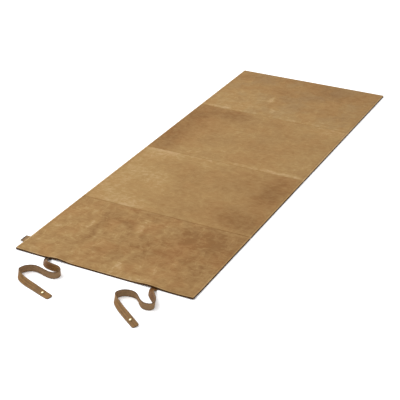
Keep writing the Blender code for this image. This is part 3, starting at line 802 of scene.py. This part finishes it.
@cache
def calendered_rubber():
    """Natural rubber: calendered into a sheet on a patterned roller, matt and dark.

    The roller leaves a waffle of shallow cells on its underside, 3 mm across, which grips
    the floor, and a fine pebbled skin elsewhere.
    """
    mat, node, place = new_material("calendered dark rubber")
    skin = node("TexNoise", (place, 500.0, 4.0, 0.6))
    dust = node("TexNoise", (place, 22.0, 4.0, 0.6))
    waves = []
    for axis in node("SeparateXYZ", (place,)).outputs[:2]:
        turns = node("Math", (axis, math.tau / (2 * 0.003)), operation="MULTIPLY")
        wave = node("Math", (turns,), operation="SINE")
        waves.append(node("Math", (wave,), operation="ABSOLUTE"))
    waffle = node("Math", waves, operation="MINIMUM")
    waffle = node("MapRange", (waffle, 0.0, 0.35), **EASED)
    normal = node("TexCoord").outputs["Normal"]
    facing = node("SeparateXYZ", (normal,)).outputs["Z"]
    underneath = node("MapRange", (facing, -0.9, -0.5, 1.0, 0.0))
    pattern = node("Math", (waffle, underneath), operation="MULTIPLY")
    height = node("Math", (skin, 0.3, pattern), operation="MULTIPLY_ADD")
    base = colours().underlay
    worn = toned(base, 1.7, 0.006)
    colour = node("ValToRGB", (dust,), stops=((0.35, base), (0.75, worn)))
    surface(
        node, colour, (dust, 0.0, 1.0, 0.78, 0.95), (height, 0.8, 0.0007), {"Specular IOR Level": 0.10}
    )
    return mat


@cache
def bridle_leather():
    """Bridle leather: oiled cowhide, cut into straps, with creased and burnished edges.

    The grain side is smooth with a low shine, the flesh side is greyer and fibrous, and
    the edges, rubbed with wax, are darker.  The attribute holds the distance along the
    strap, the place across it and the depth under its grain face, in metres.
    """
    mat, node, place = new_material("oiled bridle leather")
    half = sizes().strap_width / 2
    held = node("Attribute", attribute_name="strap_place").outputs["Vector"]
    along, across, depth = node("SeparateXYZ", (held,)).outputs

    # Streaks follow the strap: 70 mm long and 4 mm wide
    stretched = node("Mapping", {"Vector": held, "Scale": (14.0, 230.0, 120.0)})
    streak = node("TexNoise", (stretched, 1.0, 3.0))
    pores = node("TexVoronoi", (held, 1100.0))
    blotch = node("TexNoise", (held, 60.0, 4.0))
    fibre = node("TexNoise", (place, 900.0, 4.0, 0.75))
    mixed = node("Math", (streak, 0.65), operation="MULTIPLY")
    mixed = node("Math", (blotch, 0.35, mixed), operation="MULTIPLY_ADD")
    base = colours().strap_grain
    browns = ((0.36, toned(base, 0.62)), (0.5, base), (0.64, toned(base, 1.32)))
    grain = node("ValToRGB", (mixed,), stops=browns)

    # Painted shade: for 70 mm from its root the strap is darker, where it lies low by the mat's edge
    full, gone = PATTERN_START + 0.070, PATTERN_START + 0.135
    painted_root_shade = node("MapRange", (along, full, gone, 0.62, 0.0), **EASED)

    # Painted shadow: the left strap's root is nearly black for 10 mm, under the mat's lifted edge
    full, gone = PATTERN_START + 0.010, PATTERN_START + 0.038
    painted_root_shadow = node("MapRange", (along, full, gone, 0.85, 0.0), **EASED)
    mat_x = node("SeparateXYZ", (place,)).outputs["X"]
    on_left = node("Math", (mat_x, 0.0), operation="LESS_THAN")
    painted_root_shadow = node("Math", (painted_root_shadow, on_left), operation="MULTIPLY")

    # The creases 1.8 mm inside each edge are rubbed pale
    from_middle = distance_from(node, across, half)
    from_crease = distance_from(node, from_middle, half - 0.0018)
    rubbed = node("MapRange", (from_crease, 0.0, 0.0020, 0.55, 0.0), **EASED)

    # On the flesh side the edges took up the wax: 4 mm along each are darker
    both = node("Math", (fibre, mixed), operation="ADD")
    both = node("Math", (both, 0.5), operation="MULTIPLY")
    base = colours().strap_flesh
    greys = ((0.36, toned(base, 0.66)), (0.5, base), (0.64, toned(base, 1.25)))
    flesh = node("ValToRGB", (both,), stops=greys)
    waxed = node("MapRange", (from_middle, half - 0.0040, half, 0.0, 0.75))
    flesh = node("Mix", (waxed, flesh, "5F452C"), data_type="RGBA")

    is_edge = node("MapRange", (depth, -0.0001, -0.0007))
    is_flesh = node("MapRange", (depth, -0.0020, -0.0025))
    colour = grain
    # The root's painted shade and the left root's painted shadow are mixed in with the real colours
    for share, tint in (
        (painted_root_shade, "683E1C"), (rubbed, "A58760"), (is_edge, "5C4024"), (is_flesh, flesh),
        (painted_root_shadow, "2A1A10"),
    ):
        colour = node("Mix", (share, colour, tint), data_type="RGBA")
    height = node("Math", (pores, 0.35, streak), operation="MULTIPLY_ADD")
    height = node("Math", (fibre, 0.5, height), operation="MULTIPLY_ADD")
    surface(
        node, colour, (is_flesh, 0.0, 1.0, 0.52, 0.92), (height, 0.4, 0.0004), {"Specular IOR Level": 0.2}
    )
    return mat


@cache
def polished_brass():
    """Brass: turned and polished, with light handling marks.

    From 3 mm out from the studs' crowns the brass is darker and rougher: painted shade round the crown.
    """
    mat, node, place = new_material("polished turned brass")
    marks = node("TexNoise", (place, 650.0, 4.0, 0.65))
    base = colours().brass
    colour = node("ValToRGB", (marks,), stops=((0.3, toned(base, 0.8)), (0.6, base)))
    # Painted shade: the brass darkens from 3 mm out from each stud's crown
    crowns = [stud_matrix(side) @ Vector((0.0, 0.0, STUD_CROWN)) for side in STRAP_ROOT_X]
    gaps = [node("VectorMath", (place, crown), operation="DISTANCE") for crown in crowns]
    nearest = node("Math", gaps, operation="MINIMUM")
    painted_shade_rim = node("MapRange", (nearest, 0.0030, 0.0050, 0.0, 0.85), **EASED)
    colour = node("Mix", (painted_shade_rim, colour, "6B5130"), data_type="RGBA")
    surface(node, colour, (painted_shade_rim, 0.0, 1.0, 0.14, 0.42), (marks, 0.15, 0.0001), {"Metallic": 1.0})
    return mat


@cache
def waxed_thread():
    """Waxed linen thread: twisted from three plies, with a band of twist every 2.4 mm."""
    mat, node, place = new_material("waxed linen thread")
    wave = {"Vector": place, "Scale": 260.0, "Distortion": 0.4, "Detail": 1.0}
    twist = node("TexWave", wave, bands_direction="DIAGONAL").outputs["Fac"]
    base = colours().thread
    colour = node("ValToRGB", (twist,), stops=((0.1, toned(base, 0.7)), (0.7, base)))
    surface(node, colour, (twist, 0.0, 1.0, 0.75, 0.55), (twist, 0.5, 0.0002), {})
    return mat


# Pieces


class MAT_OT_underlay(bpy.types.Operator):
    """Make the four dark rubber sections under the leather"""

    bl_idname = "gym_mat.underlay"
    bl_label = "Underlay sections"

    def execute(self, context):
        insets = {place: BASE_FROM_SEAM for place in (SEAM_1, SEAM_2, SEAM_3)}
        insets |= {NEAR_EDGE: 0.0, FAR_EDGE: 0.0}
        for number in PANEL_ENDS:
            obj, _, _ = panel_slab(
                f"underlay_{number}", number, HALF_WIDTH, insets, 0.0, BASE_TOP,
                UNDERLAY_CELL, sizes().underlay_edge,
            )
            if number == 1:
                lift_near_end(obj)
                self.cut_rooms(obj)
            smooth(obj)
            paint(obj, [calendered_rubber()])
            hand_over(obj, "dark_underlay", f"base_{number}")
            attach(obj, f"panel_{number}")
        return {"FINISHED"}

    def cut_rooms(self, obj):
        """Cut the rooms for the straps' tails, the sockets and the label tab."""
        gap = FIT_GAP
        for side, root_x in STRAP_ROOT_X.items():
            inner_x = root_x + sizes().strap_width + gap
            cut_box(
                obj, (root_x - gap, TAIL_OUTER_Y - CUT_OUT, -CUT_BELOW),
                (inner_x, TAIL_INNER_Y + gap, sizes().tail_thickness + gap),
            )
            low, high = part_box(f"snap_socket_{side}")
            begin()
            bpy.ops.mesh.primitive_cylinder_add(
                vertices=ROUND_SEGMENTS, radius=(high.x - low.x) / 2 + gap, depth=CUT_ABOVE,
                location=(low + high) / 2,
            )
            cut_with(named("cutter"), obj)
        low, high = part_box("label_tab")
        cut_box(
            obj, (low.x - gap, low.y - gap, low.z - gap), (high.x + gap, high.y + gap, CUT_ABOVE)
        )


class MAT_OT_leather(bpy.types.Operator):
    """Make the four tan leather panels that lie on the underlay"""

    bl_idname = "gym_mat.leather"
    bl_label = "Leather panels"

    def execute(self, context):
        inset = sizes().leather_inset
        half_width = HALF_WIDTH - inset
        low = BASE_TOP + sizes().leather_lift
        insets = {SEAM_1: BAND_HALF, SEAM_2: FIN_HALF, SEAM_3: BAND_HALF}
        insets |= {NEAR_EDGE: inset, FAR_EDGE: inset}
        for number in PANEL_ENDS:
            obj, low_y, high_y = panel_slab(
                f"leather_{number}", number, half_width, insets, low, LEATHER_TOP,
                sizes().cell, sizes().leather_edge,
            )
            for vert in obj.data.vertices:
                x, y, z = vert.co
                if z > (low + LEATHER_TOP) / 2:
                    inside = min(half_width - abs(x), y - low_y, high_y - y)
                    vert.co.z += self.relief(x, y, inside)
            if number == 1:
                lift_near_end(obj)
            smooth(obj)
            paint(
                obj, [nubuck(number), raw_leather(), burnished_edge()],
                lambda face: 0 if face.normal.z > 0.6 else 1 if face.normal.z < -0.6 else 2,
            )
            hand_over(obj, "tan_leather", f"top_leather_{number}")
            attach(obj, f"panel_{number}")
        return {"FINISHED"}

    def relief(self, x, y, inside):
        """Return how far the laid hide rises or sinks, away from its sewn edges."""
        # The rises are about 140 mm across
        broad = noise.fractal(Vector((x * 7, y * 7, 0.4)), 0.9, 2.0, 3)
        return sizes().relief * smoothstep(inside / RELIEF_FADE) * broad


class MAT_OT_seams(bpy.types.Operator):
    """Make the three sewn seams, two turned leather edges meeting in a valley"""

    bl_idname = "gym_mat.seams"
    bl_label = "Seams"

    def outline(self, half):
        """Return the seam's section: (across, height), round from the low right corner."""
        low = BASE_TOP + sizes().leather_lift
        top = LEATHER_TOP
        right = [(FIN_HALF, FIT_GAP), (FIN_HALF, low)]
        if half > FIN_HALF:
            right += [(half, low), (half, top), (half * 0.8, top), (half * 0.6, top + 0.00005)]
        else:
            right.append((FIN_HALF, top))
        right += [(across, top + rise) for across, rise in SEAM_VALLEY]
        left = [(-across, height) for across, height in reversed(right)]
        return right + [(0.0, top - VALLEY_DEPTH)] + left

    def execute(self, context):
        half_width = HALF_WIDTH - sizes().leather_inset
        seams = (
            (1, SEAM_1, BAND_HALF, "panel_2", "panel_1", BAND_BENDS * BAND_HALF),
            (2, SEAM_2, FIN_HALF, "panel_3", "panel_2", FIN_HALF),
            (3, SEAM_3, BAND_HALF, "panel_3", "panel_4", BAND_BENDS * BAND_HALF),
        )
        for number, seam, half, first, second, reach in seams:
            outline = self.outline(half)
            obj, places = add_grid(f"seam_{number}", SEAM_CELLS, len(outline))
            for vert, (cell, corner) in zip(obj.data.vertices, places):
                x = half_width * (2 * (cell / SEAM_CELLS) - 1)
                across, height = outline[corner % len(outline)]
                if abs(across) < VALLEY_HALF and height > BASE_TOP:
                    # It wanders every 25 mm, and its depth varies every 8 mm
                    wander = noise.noise(Vector((x * 40, number * 9.0, 0.0)))
                    ripple = noise.noise(Vector((x * 130, number * 5.0, 3.0)))
                    across += VALLEY_WANDER * wander
                    height += VALLEY_RIPPLE * ripple
                vert.co = (x, seam + across, height)
            close_bar(obj, 50)

            def choose(face):
                hidden = face.normal.z < 0.1 and face.center.z < LEATHER_TOP - 0.001
                if hidden or abs(face.normal.x) > 0.9:
                    return 2
                return 0 if face.center.y < seam else 1

            paint(obj, [nubuck(number), nubuck(number + 1), raw_leather()], choose)
            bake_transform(obj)
            hand_over(obj, "turned_leather", f"seam_strip_{number}")
        return {"FINISHED"}


def smooth_route(points):
    """Return a Catmull-Rom curve through a short list of points, in even small steps."""
    samples = []
    for index in range(len(points) - 1):
        before = Vector(points[max(index - 1, 0)])
        start = Vector(points[index])
        end = Vector(points[index + 1])
        after = Vector(points[min(index + 2, len(points) - 1)])
        for step in range(ROUTE_SAMPLES):
            share = step / ROUTE_SAMPLES
            first = 2 * start
            second = (end - before) * share
            third = (2 * before - 5 * start + 4 * end - after) * share * share
            fourth = (3 * start - before - 3 * end + after) * share * share * share
            samples.append((first + second + third + fourth) / 2)
    samples.append(Vector(points[-1]))
    return samples


class StrapRoute:
    """A strap's way over the floor, by distance from its root."""

    def __init__(self, side):
        route = STRAP_ROUTES[side]
        self.root_x = STRAP_ROOT_X[side]
        self.samples = smooth_route([(x, y, math.radians(lean)) for x, y, lean in route])
        self.distances = [0.0]
        for first, second in zip(self.samples, self.samples[1:]):
            self.distances.append(self.distances[-1] + (second.xy - first.xy).length)
        self.length = self.distances[-1]

    def point(self, distance):
        """Return (lower edge, lean) at a distance."""
        distance = min(max(distance, 0.0), self.length)
        index = bisect_left(self.distances, distance, 1, len(self.distances) - 1)
        span = self.distances[index] - self.distances[index - 1]
        share = (distance - self.distances[index - 1]) / span
        sample = self.samples[index - 1].lerp(self.samples[index], share)
        return Vector((self.root_x + sample.x, NEAR_EDGE - sample.y, 0.0)), sample.z

    def section(self, distance):
        """Return the grain face's lower edge, its lean, its upward direction and its normal."""
        place, lean = self.point(distance)
        heading = OUTWARDS
        if distance < 0:
            place = place + Vector((0.0, -distance, 0.0))
        else:
            before = self.point(distance - HEADING_STEP)[0]
            after = self.point(distance + HEADING_STEP)[0]
            heading = (after - before).normalized()
            if distance < sizes().root_straight:
                heading = OUTWARDS.lerp(heading, distance / sizes().root_straight).normalized()
        to_left = Vector((-heading.y, heading.x, 0.0))
        upward = to_left * math.sin(lean) + UP * math.cos(lean)
        normal = UP * math.sin(lean) - to_left * math.cos(lean)
        return place, lean, upward, normal


class MAT_OT_straps(bpy.types.Operator):
    """Make the two fastening straps, each one length of leather from tail to tip"""

    bl_idname = "gym_mat.straps"
    bl_label = "Straps"

    def ring(self):
        """Return the strap's section: (across, depth), round from the grain face."""
        width = sizes().strap_width
        thick = sizes().strap_thickness
        edge = [
            (0.0000, -thick * 0.50), (0.0001, -0.0008), (0.0003, -0.00035), (0.0008, -0.00008),
            (0.0013, 0.0), (0.0018, -0.00030), (0.0023, 0.0), (0.0045, 0.00002),
        ]
        grain = edge + [(width / 2, 0.00004)]
        grain += [(width - across, depth) for across, depth in reversed(edge)]
        corner = [(0.0001, 0.0008), (0.0004, 0.0003), (0.0011, 0.0)]
        flesh = [(width - across, -thick + rise) for across, rise in corner]
        flesh += [(width * share, -thick) for share in (0.72, 0.5, 0.28)]
        flesh += [(across, -thick + rise) for across, rise in reversed(corner)]
        return grain + flesh

    def tail_lift(self, x, y):
        """Return how far a tail bends up from the floor to the lifted underlay."""
        room = edge_lift(x, y) - sizes().tail_thickness - FIT_GAP
        return max(room, 0.0) * smoothstep((y - TAIL_OUTER_Y) / sizes().tail_ramp)

    def execute(self, context):
        width = sizes().strap_width
        thick = sizes().strap_thickness
        corner = sizes().strap_tip_corner
        ring = self.ring()
        for side in STRAP_ROOT_X:
            route = StrapRoute(side)
            root_y = route.point(0.0)[0].y
            tail = TAIL_INNER_Y - root_y
            straight = route.length - corner
            steps = round((straight + tail) / sizes().strap_step)
            distances = [-tail + (straight + tail) * step / steps for step in range(steps + 1)]
            distances[0] += FIT_GAP
            for step in range(1, TIP_ROWS + 1):
                distances.append(straight + corner * math.sin(math.tau / 4 * step / TIP_ROWS))
            sections = [route.section(distance) for distance in distances]
            obj, places = add_grid(f"strap_leather_{side}", len(ring), len(distances) - 1)
            held = obj.data.attributes.new("strap_place", "FLOAT_VECTOR", "POINT").data
            for vert, mark, (turn, row) in zip(obj.data.vertices, held, places):
                across, depth = ring[turn % len(ring)]
                distance = distances[row]
                place, lean, upward, normal = sections[row]
                mark.vector = (distance + PATTERN_START, across, depth)
                # The tail is pared from the strap's thickness to the sewn flap's
                pared = smoothstep(-(distance - PARED_FROM) / PARED_OVER)
                share = 1 - pared * (1 - sizes().tail_thickness / thick)
                raised = thick * max(math.sin(lean), 0.0) * share
                if distance < 0:
                    raised += self.tail_lift(place.x + across, place.y)
                past = max(distance - straight, 0.0) / corner
                narrow = corner * (1 - math.sqrt(max(1 - past * past, 0.0)))
                across = width / 2 + (across - width / 2) * (1 - 2 * narrow / width)
                vert.co = place + upward * across + normal * depth * share
                vert.co.z += raised
            close_bar(obj, 55)
            paint(obj, [bridle_leather()])
            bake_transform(obj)
            hand_over(obj, "strap_leather", f"strap_{side}", f"strap_tail_{side}")
        return {"FINISHED"}


def stud_matrix(side):
    """Return the place and turn of a strap's stud, its axis along +Z at the grain face."""
    route = StrapRoute(side)
    distance = route.length - sizes().stud_from_tip
    place, lean, upward, _ = route.section(distance)
    before = route.section(distance - HEADING_STEP)
    after = route.section(distance + HEADING_STEP)
    half = sizes().strap_width / 2
    along = (after[0] + after[2] * half) - (before[0] + before[2] * half)
    normal = along.normalized().cross(upward).normalized()
    middle = place + upward * half
    middle.z += sizes().strap_thickness * max(math.sin(lean), 0.0)
    turn = UP.rotation_difference(normal).to_matrix().to_4x4()
    return Matrix.Translation(middle) @ turn


class MAT_OT_studs(bpy.types.Operator):
    """Make the domed brass studs at the straps' tips and finish the other brass"""

    bl_idname = "gym_mat.studs"
    bl_label = "Brass"

    def execute(self, context):
        rings = list(STUD_RINGS)
        for step in range(1, DOME_STEPS):
            angle = math.tau / 4 * step / DOME_STEPS
            rings.append((
                DOME_RADIUS * math.cos(angle), DOME_FOOT + DOME_HEIGHT * math.sin(angle)
            ))
        rings.append((0.0001, STUD_CROWN))
        # Each ring is drawn out from the one before, about Z
        radius, height = rings[0]
        begin()
        bpy.ops.mesh.primitive_circle_add(vertices=ROUND_SEGMENTS, radius=radius)
        model = named("stud")
        for vert in model.data.vertices:
            vert.co.z = height
        with editing(model):
            bpy.ops.mesh.edge_face_add()
            for wide, high in rings[1:]:
                pull_up(high - height)
                bpy.ops.transform.resize(
                    value=(wide / radius, wide / radius, 1.0), center_override=(0.0, 0.0, high)
                )
                radius, height = wide, high
        recalculate(model)
        smooth(model, 50)
        paint(model, [polished_brass()])
        for side in STRAP_ROOT_X:
            obj = model.copy()
            obj.data = model.data.copy()
            obj.name = obj.data.name = f"brass_stud_{side}"
            obj.data.transform(stud_matrix(side))
            bpy.context.collection.objects.link(obj)
            hand_over(obj, "brass", f"snap_stud_{side}")
            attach(obj, f"strap_{side}")
            for node in (f"snap_washer_{side}", f"snap_socket_{side}"):
                paint(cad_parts[node], [polished_brass()])
        bpy.data.objects.remove(model, do_unlink=True)
        return {"FINISHED"}


class MAT_OT_label_tab(bpy.types.Operator):
    """Make the bare folded leather tab in the left edge"""

    bl_idname = "gym_mat.label_tab"
    bl_label = "Label tab"

    def execute(self, context):
        low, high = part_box("label_tab")
        radius = (high.z - low.z) / 2
        middle = (low.z + high.z) / 2
        outline = [(high.x, low.z + TAB_SOFTENED), (high.x, high.z - TAB_SOFTENED)]
        outline += [(low.x + inward, high.z) for inward in TAB_ROWS]
        for step in range(FOLD_STEPS + 1):
            angle = math.tau / 4 + math.tau / 2 * step / FOLD_STEPS
            outline.append(
                (low.x + radius + radius * math.cos(angle), middle + radius * math.sin(angle))
            )
        outline += [(low.x + inward, low.z) for inward in reversed(TAB_ROWS)]
        obj, places = add_grid("leather_tab", len(outline), TAB_CELLS)
        for vert, (corner, cell) in zip(obj.data.vertices, places):
            x, z = outline[corner % len(outline)]
            vert.co = (x, low.y + (high.y - low.y) * (cell / TAB_CELLS), z)
        close_bar(obj, 50)
        paint(obj, [tab_leather()])
        hand_over(obj, "turned_leather", "label_tab")
        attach(obj, "panel_1")
        return {"FINISHED"}


class MAT_OT_stitching(bpy.types.Operator):
    """Sew the leather's edges with rows of single stitches"""

    bl_idname = "gym_mat.stitching"
    bl_label = "Stitching"

    def row(self, start, end):
        """Lay a row of stitches between two points on the leather, given as (x, y)."""
        start, end = Vector((*start, 0.0)), Vector((*end, 0.0))
        count = max(round((end - start).length / sizes().stitch_pitch), 1)
        step = (end - start) / count
        radius = sizes().stitch_radius
        begin()
        # A stitch has few faces, because there are about 1,000 of them, and lies with its
        # middle a quarter of the thread's radius above the leather
        bpy.ops.mesh.primitive_uv_sphere_add(segments=6, ring_count=4, radius=1.0)
        obj = named("stitch row")
        angle = math.atan2(step.y, step.x)
        turn = Matrix.Rotation(angle, 4, "Z") @ Matrix.Rotation(math.tau / 4, 4, "Y")
        size = Matrix.Diagonal((radius, radius, sizes().stitch_length / 2, 1.0))
        first = start + step / 2
        place = Matrix.Translation((first.x, first.y, LEATHER_TOP + radius * 0.25))
        obj.data.transform(place @ turn @ size)
        apply_modifier(
            obj, "ARRAY", count=count, use_relative_offset=False, use_constant_offset=True,
            constant_offset_displace=(step.x, step.y, 0.0),
        )
        return obj

    def execute(self, context):
        side_x = HALF_WIDTH - sizes().stitch_from_edge
        near_y = NEAR_EDGE + sizes().stitch_from_edge
        far_y = FAR_EDGE - sizes().stitch_from_edge
        for number, (start, end) in PANEL_ENDS.items():
            low = near_y if number == 1 else start + STITCH_FROM_SEAM[start]
            high = far_y if number == 4 else end - STITCH_FROM_SEAM[end]
            rows = [self.row((x, low), (x, high)) for x in (-side_x, side_x)]
            if number in (1, 4):
                y = near_y if number == 1 else far_y
                rows.append(self.row((-side_x, y), (side_x, y)))
            begin()
            for row in rows:
                row.select_set(True)
            bpy.context.view_layer.objects.active = rows[0]
            bpy.ops.object.join()
            obj = named(f"stitches_{number}")
            if number == 1:
                lift_near_end(obj)
            smooth(obj, 80)
            paint(obj, [waxed_thread()])
            ends = ("_left", "_right") if number in (2, 3) else ("",)
            hand_over(obj, "thread", *(f"sewing_thread_{number}{end}" for end in ends))
            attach(obj, f"panel_{number}")
        return {"FINISHED"}


def is_ray(node, first, *others):
    """Return 1 where light's path is a ray of one of the given kinds, and 0 elsewhere."""
    rays = node("LightPath").outputs
    found = rays[first]
    for other in others:
        found = node("Math", (found, rays[other]), operation="MAXIMUM")
    return found


class MAT_OT_stage(bpy.types.Operator):
    """Make the floor, the soft studio light and the camera"""

    bl_idname = "gym_mat.stage"
    bl_label = "Studio"

    def execute(self, context):
        self.lay_floor()
        self.light_world()
        for name, (place, size, watts) in LAMPS.items():
            self.light(name, place, size, watts)
        self.place_camera()
        bpy.context.scene.view_settings.view_transform = "Standard"
        return {"FINISHED"}

    def lay_floor(self):
        """Lay a floor that keeps the mat's shadow and is white to the camera."""
        begin()
        bpy.ops.mesh.primitive_plane_add(size=FLOOR_WIDTH)
        floor = named("studio_floor")
        mat = bpy.data.materials.new("matt studio floor")
        node = empty_nodes(mat)
        seen = is_ray(node, "Is Camera Ray", "Is Glossy Ray", "Is Transmission Ray")
        colour = node("Mix", (seen, FLOOR_LIT, FLOOR_SEEN), data_type="RGBA")
        node("OutputMaterial", (node("BsdfDiffuse", (colour,)),))
        floor.data.materials.append(mat)
        floor.location.z = -FLOOR_DEPTH

    def light_world(self):
        """Light from all round, with white where the camera looks past the floor."""
        world = bpy.data.worlds.new("studio")
        bpy.context.scene.world = world
        node = empty_nodes(world)
        seen = is_ray(node, "Is Camera Ray", "Is Glossy Ray")
        strength = node("MapRange", (seen, 0.0, 1.0, WORLD_LIT, 1.0))
        light = node("Background", {"Color": (1.0, 1.0, 1.0, 1.0), "Strength": strength})
        node("OutputWorld", (light,))

    def light(self, name, place, size, watts):
        """Add a square soft light that faces the mat."""
        bpy.ops.object.light_add(type="AREA", location=place)
        lamp = named(name)
        lamp.data.size = size
        lamp.data.energy = watts
        toward = LAMPS_FACE - Vector(place)
        lamp.rotation_euler = toward.to_track_quat("-Z", "Y").to_euler()

    def place_camera(self):
        """Stand the camera where the photograph was taken from."""
        turn = (
            Matrix.Rotation(math.radians(CAMERA_AZIMUTH), 3, "Z")
            @ Matrix.Rotation(math.radians(90.0 - CAMERA_ELEVATION), 3, "X")
            @ Matrix.Rotation(math.radians(CAMERA_ROLL), 3, "Z")
        )
        begin()
        bpy.ops.object.camera_add(
            location=CAMERA_TARGET + turn.col[2] * CAMERA_DISTANCE, rotation=turn.to_euler()
        )
        camera = bpy.context.object
        camera.name = "camera"
        camera.data.lens = CAMERA_LENS
        camera.data.sensor_width = 36.0
        camera.data.clip_end = 100.0
        bpy.context.scene.camera = camera


class VIEW3D_PT_mat(bpy.types.Panel):
    """Lists the mat's pieces in the sidebar"""

    bl_label = "Leather gymnastics mat"
    bl_idname = "VIEW3D_PT_mat"
    bl_space_type = "VIEW_3D"
    bl_region_type = "UI"
    bl_category = "Mat"

    def draw(self, context):
        for operator in OPERATORS:
            self.layout.operator(operator.bl_idname)
        for group in (context.scene.mat_sizes, context.scene.mat_colours):
            for name in group.__annotations__:
                self.layout.prop(group, name)


OPERATORS = (
    MAT_OT_underlay, MAT_OT_leather, MAT_OT_seams, MAT_OT_straps, MAT_OT_label_tab,
    MAT_OT_studs, MAT_OT_stitching, MAT_OT_stage,
)
CLASSES = (MatSizes, MatColours, *OPERATORS, VIEW3D_PT_mat)


def register():
    """Register the add-on's classes and settings."""
    for item in CLASSES:
        bpy.utils.register_class(item)
    bpy.types.Scene.mat_sizes = bpy.props.PointerProperty(type=MatSizes)
    bpy.types.Scene.mat_colours = bpy.props.PointerProperty(type=MatColours)


def unregister():
    """Remove the add-on's classes and settings."""
    del bpy.types.Scene.mat_colours
    del bpy.types.Scene.mat_sizes
    for item in reversed(CLASSES):
        bpy.utils.unregister_class(item)


def main():
    """Make every piece in order."""
    register()
    bpy.ops.gym_mat.underlay()
    bpy.ops.gym_mat.leather()
    bpy.ops.gym_mat.seams()
    bpy.ops.gym_mat.straps()
    bpy.ops.gym_mat.label_tab()
    bpy.ops.gym_mat.studs()
    bpy.ops.gym_mat.stitching()
    bpy.ops.gym_mat.stage()


if __name__ == "__main__":
    main()
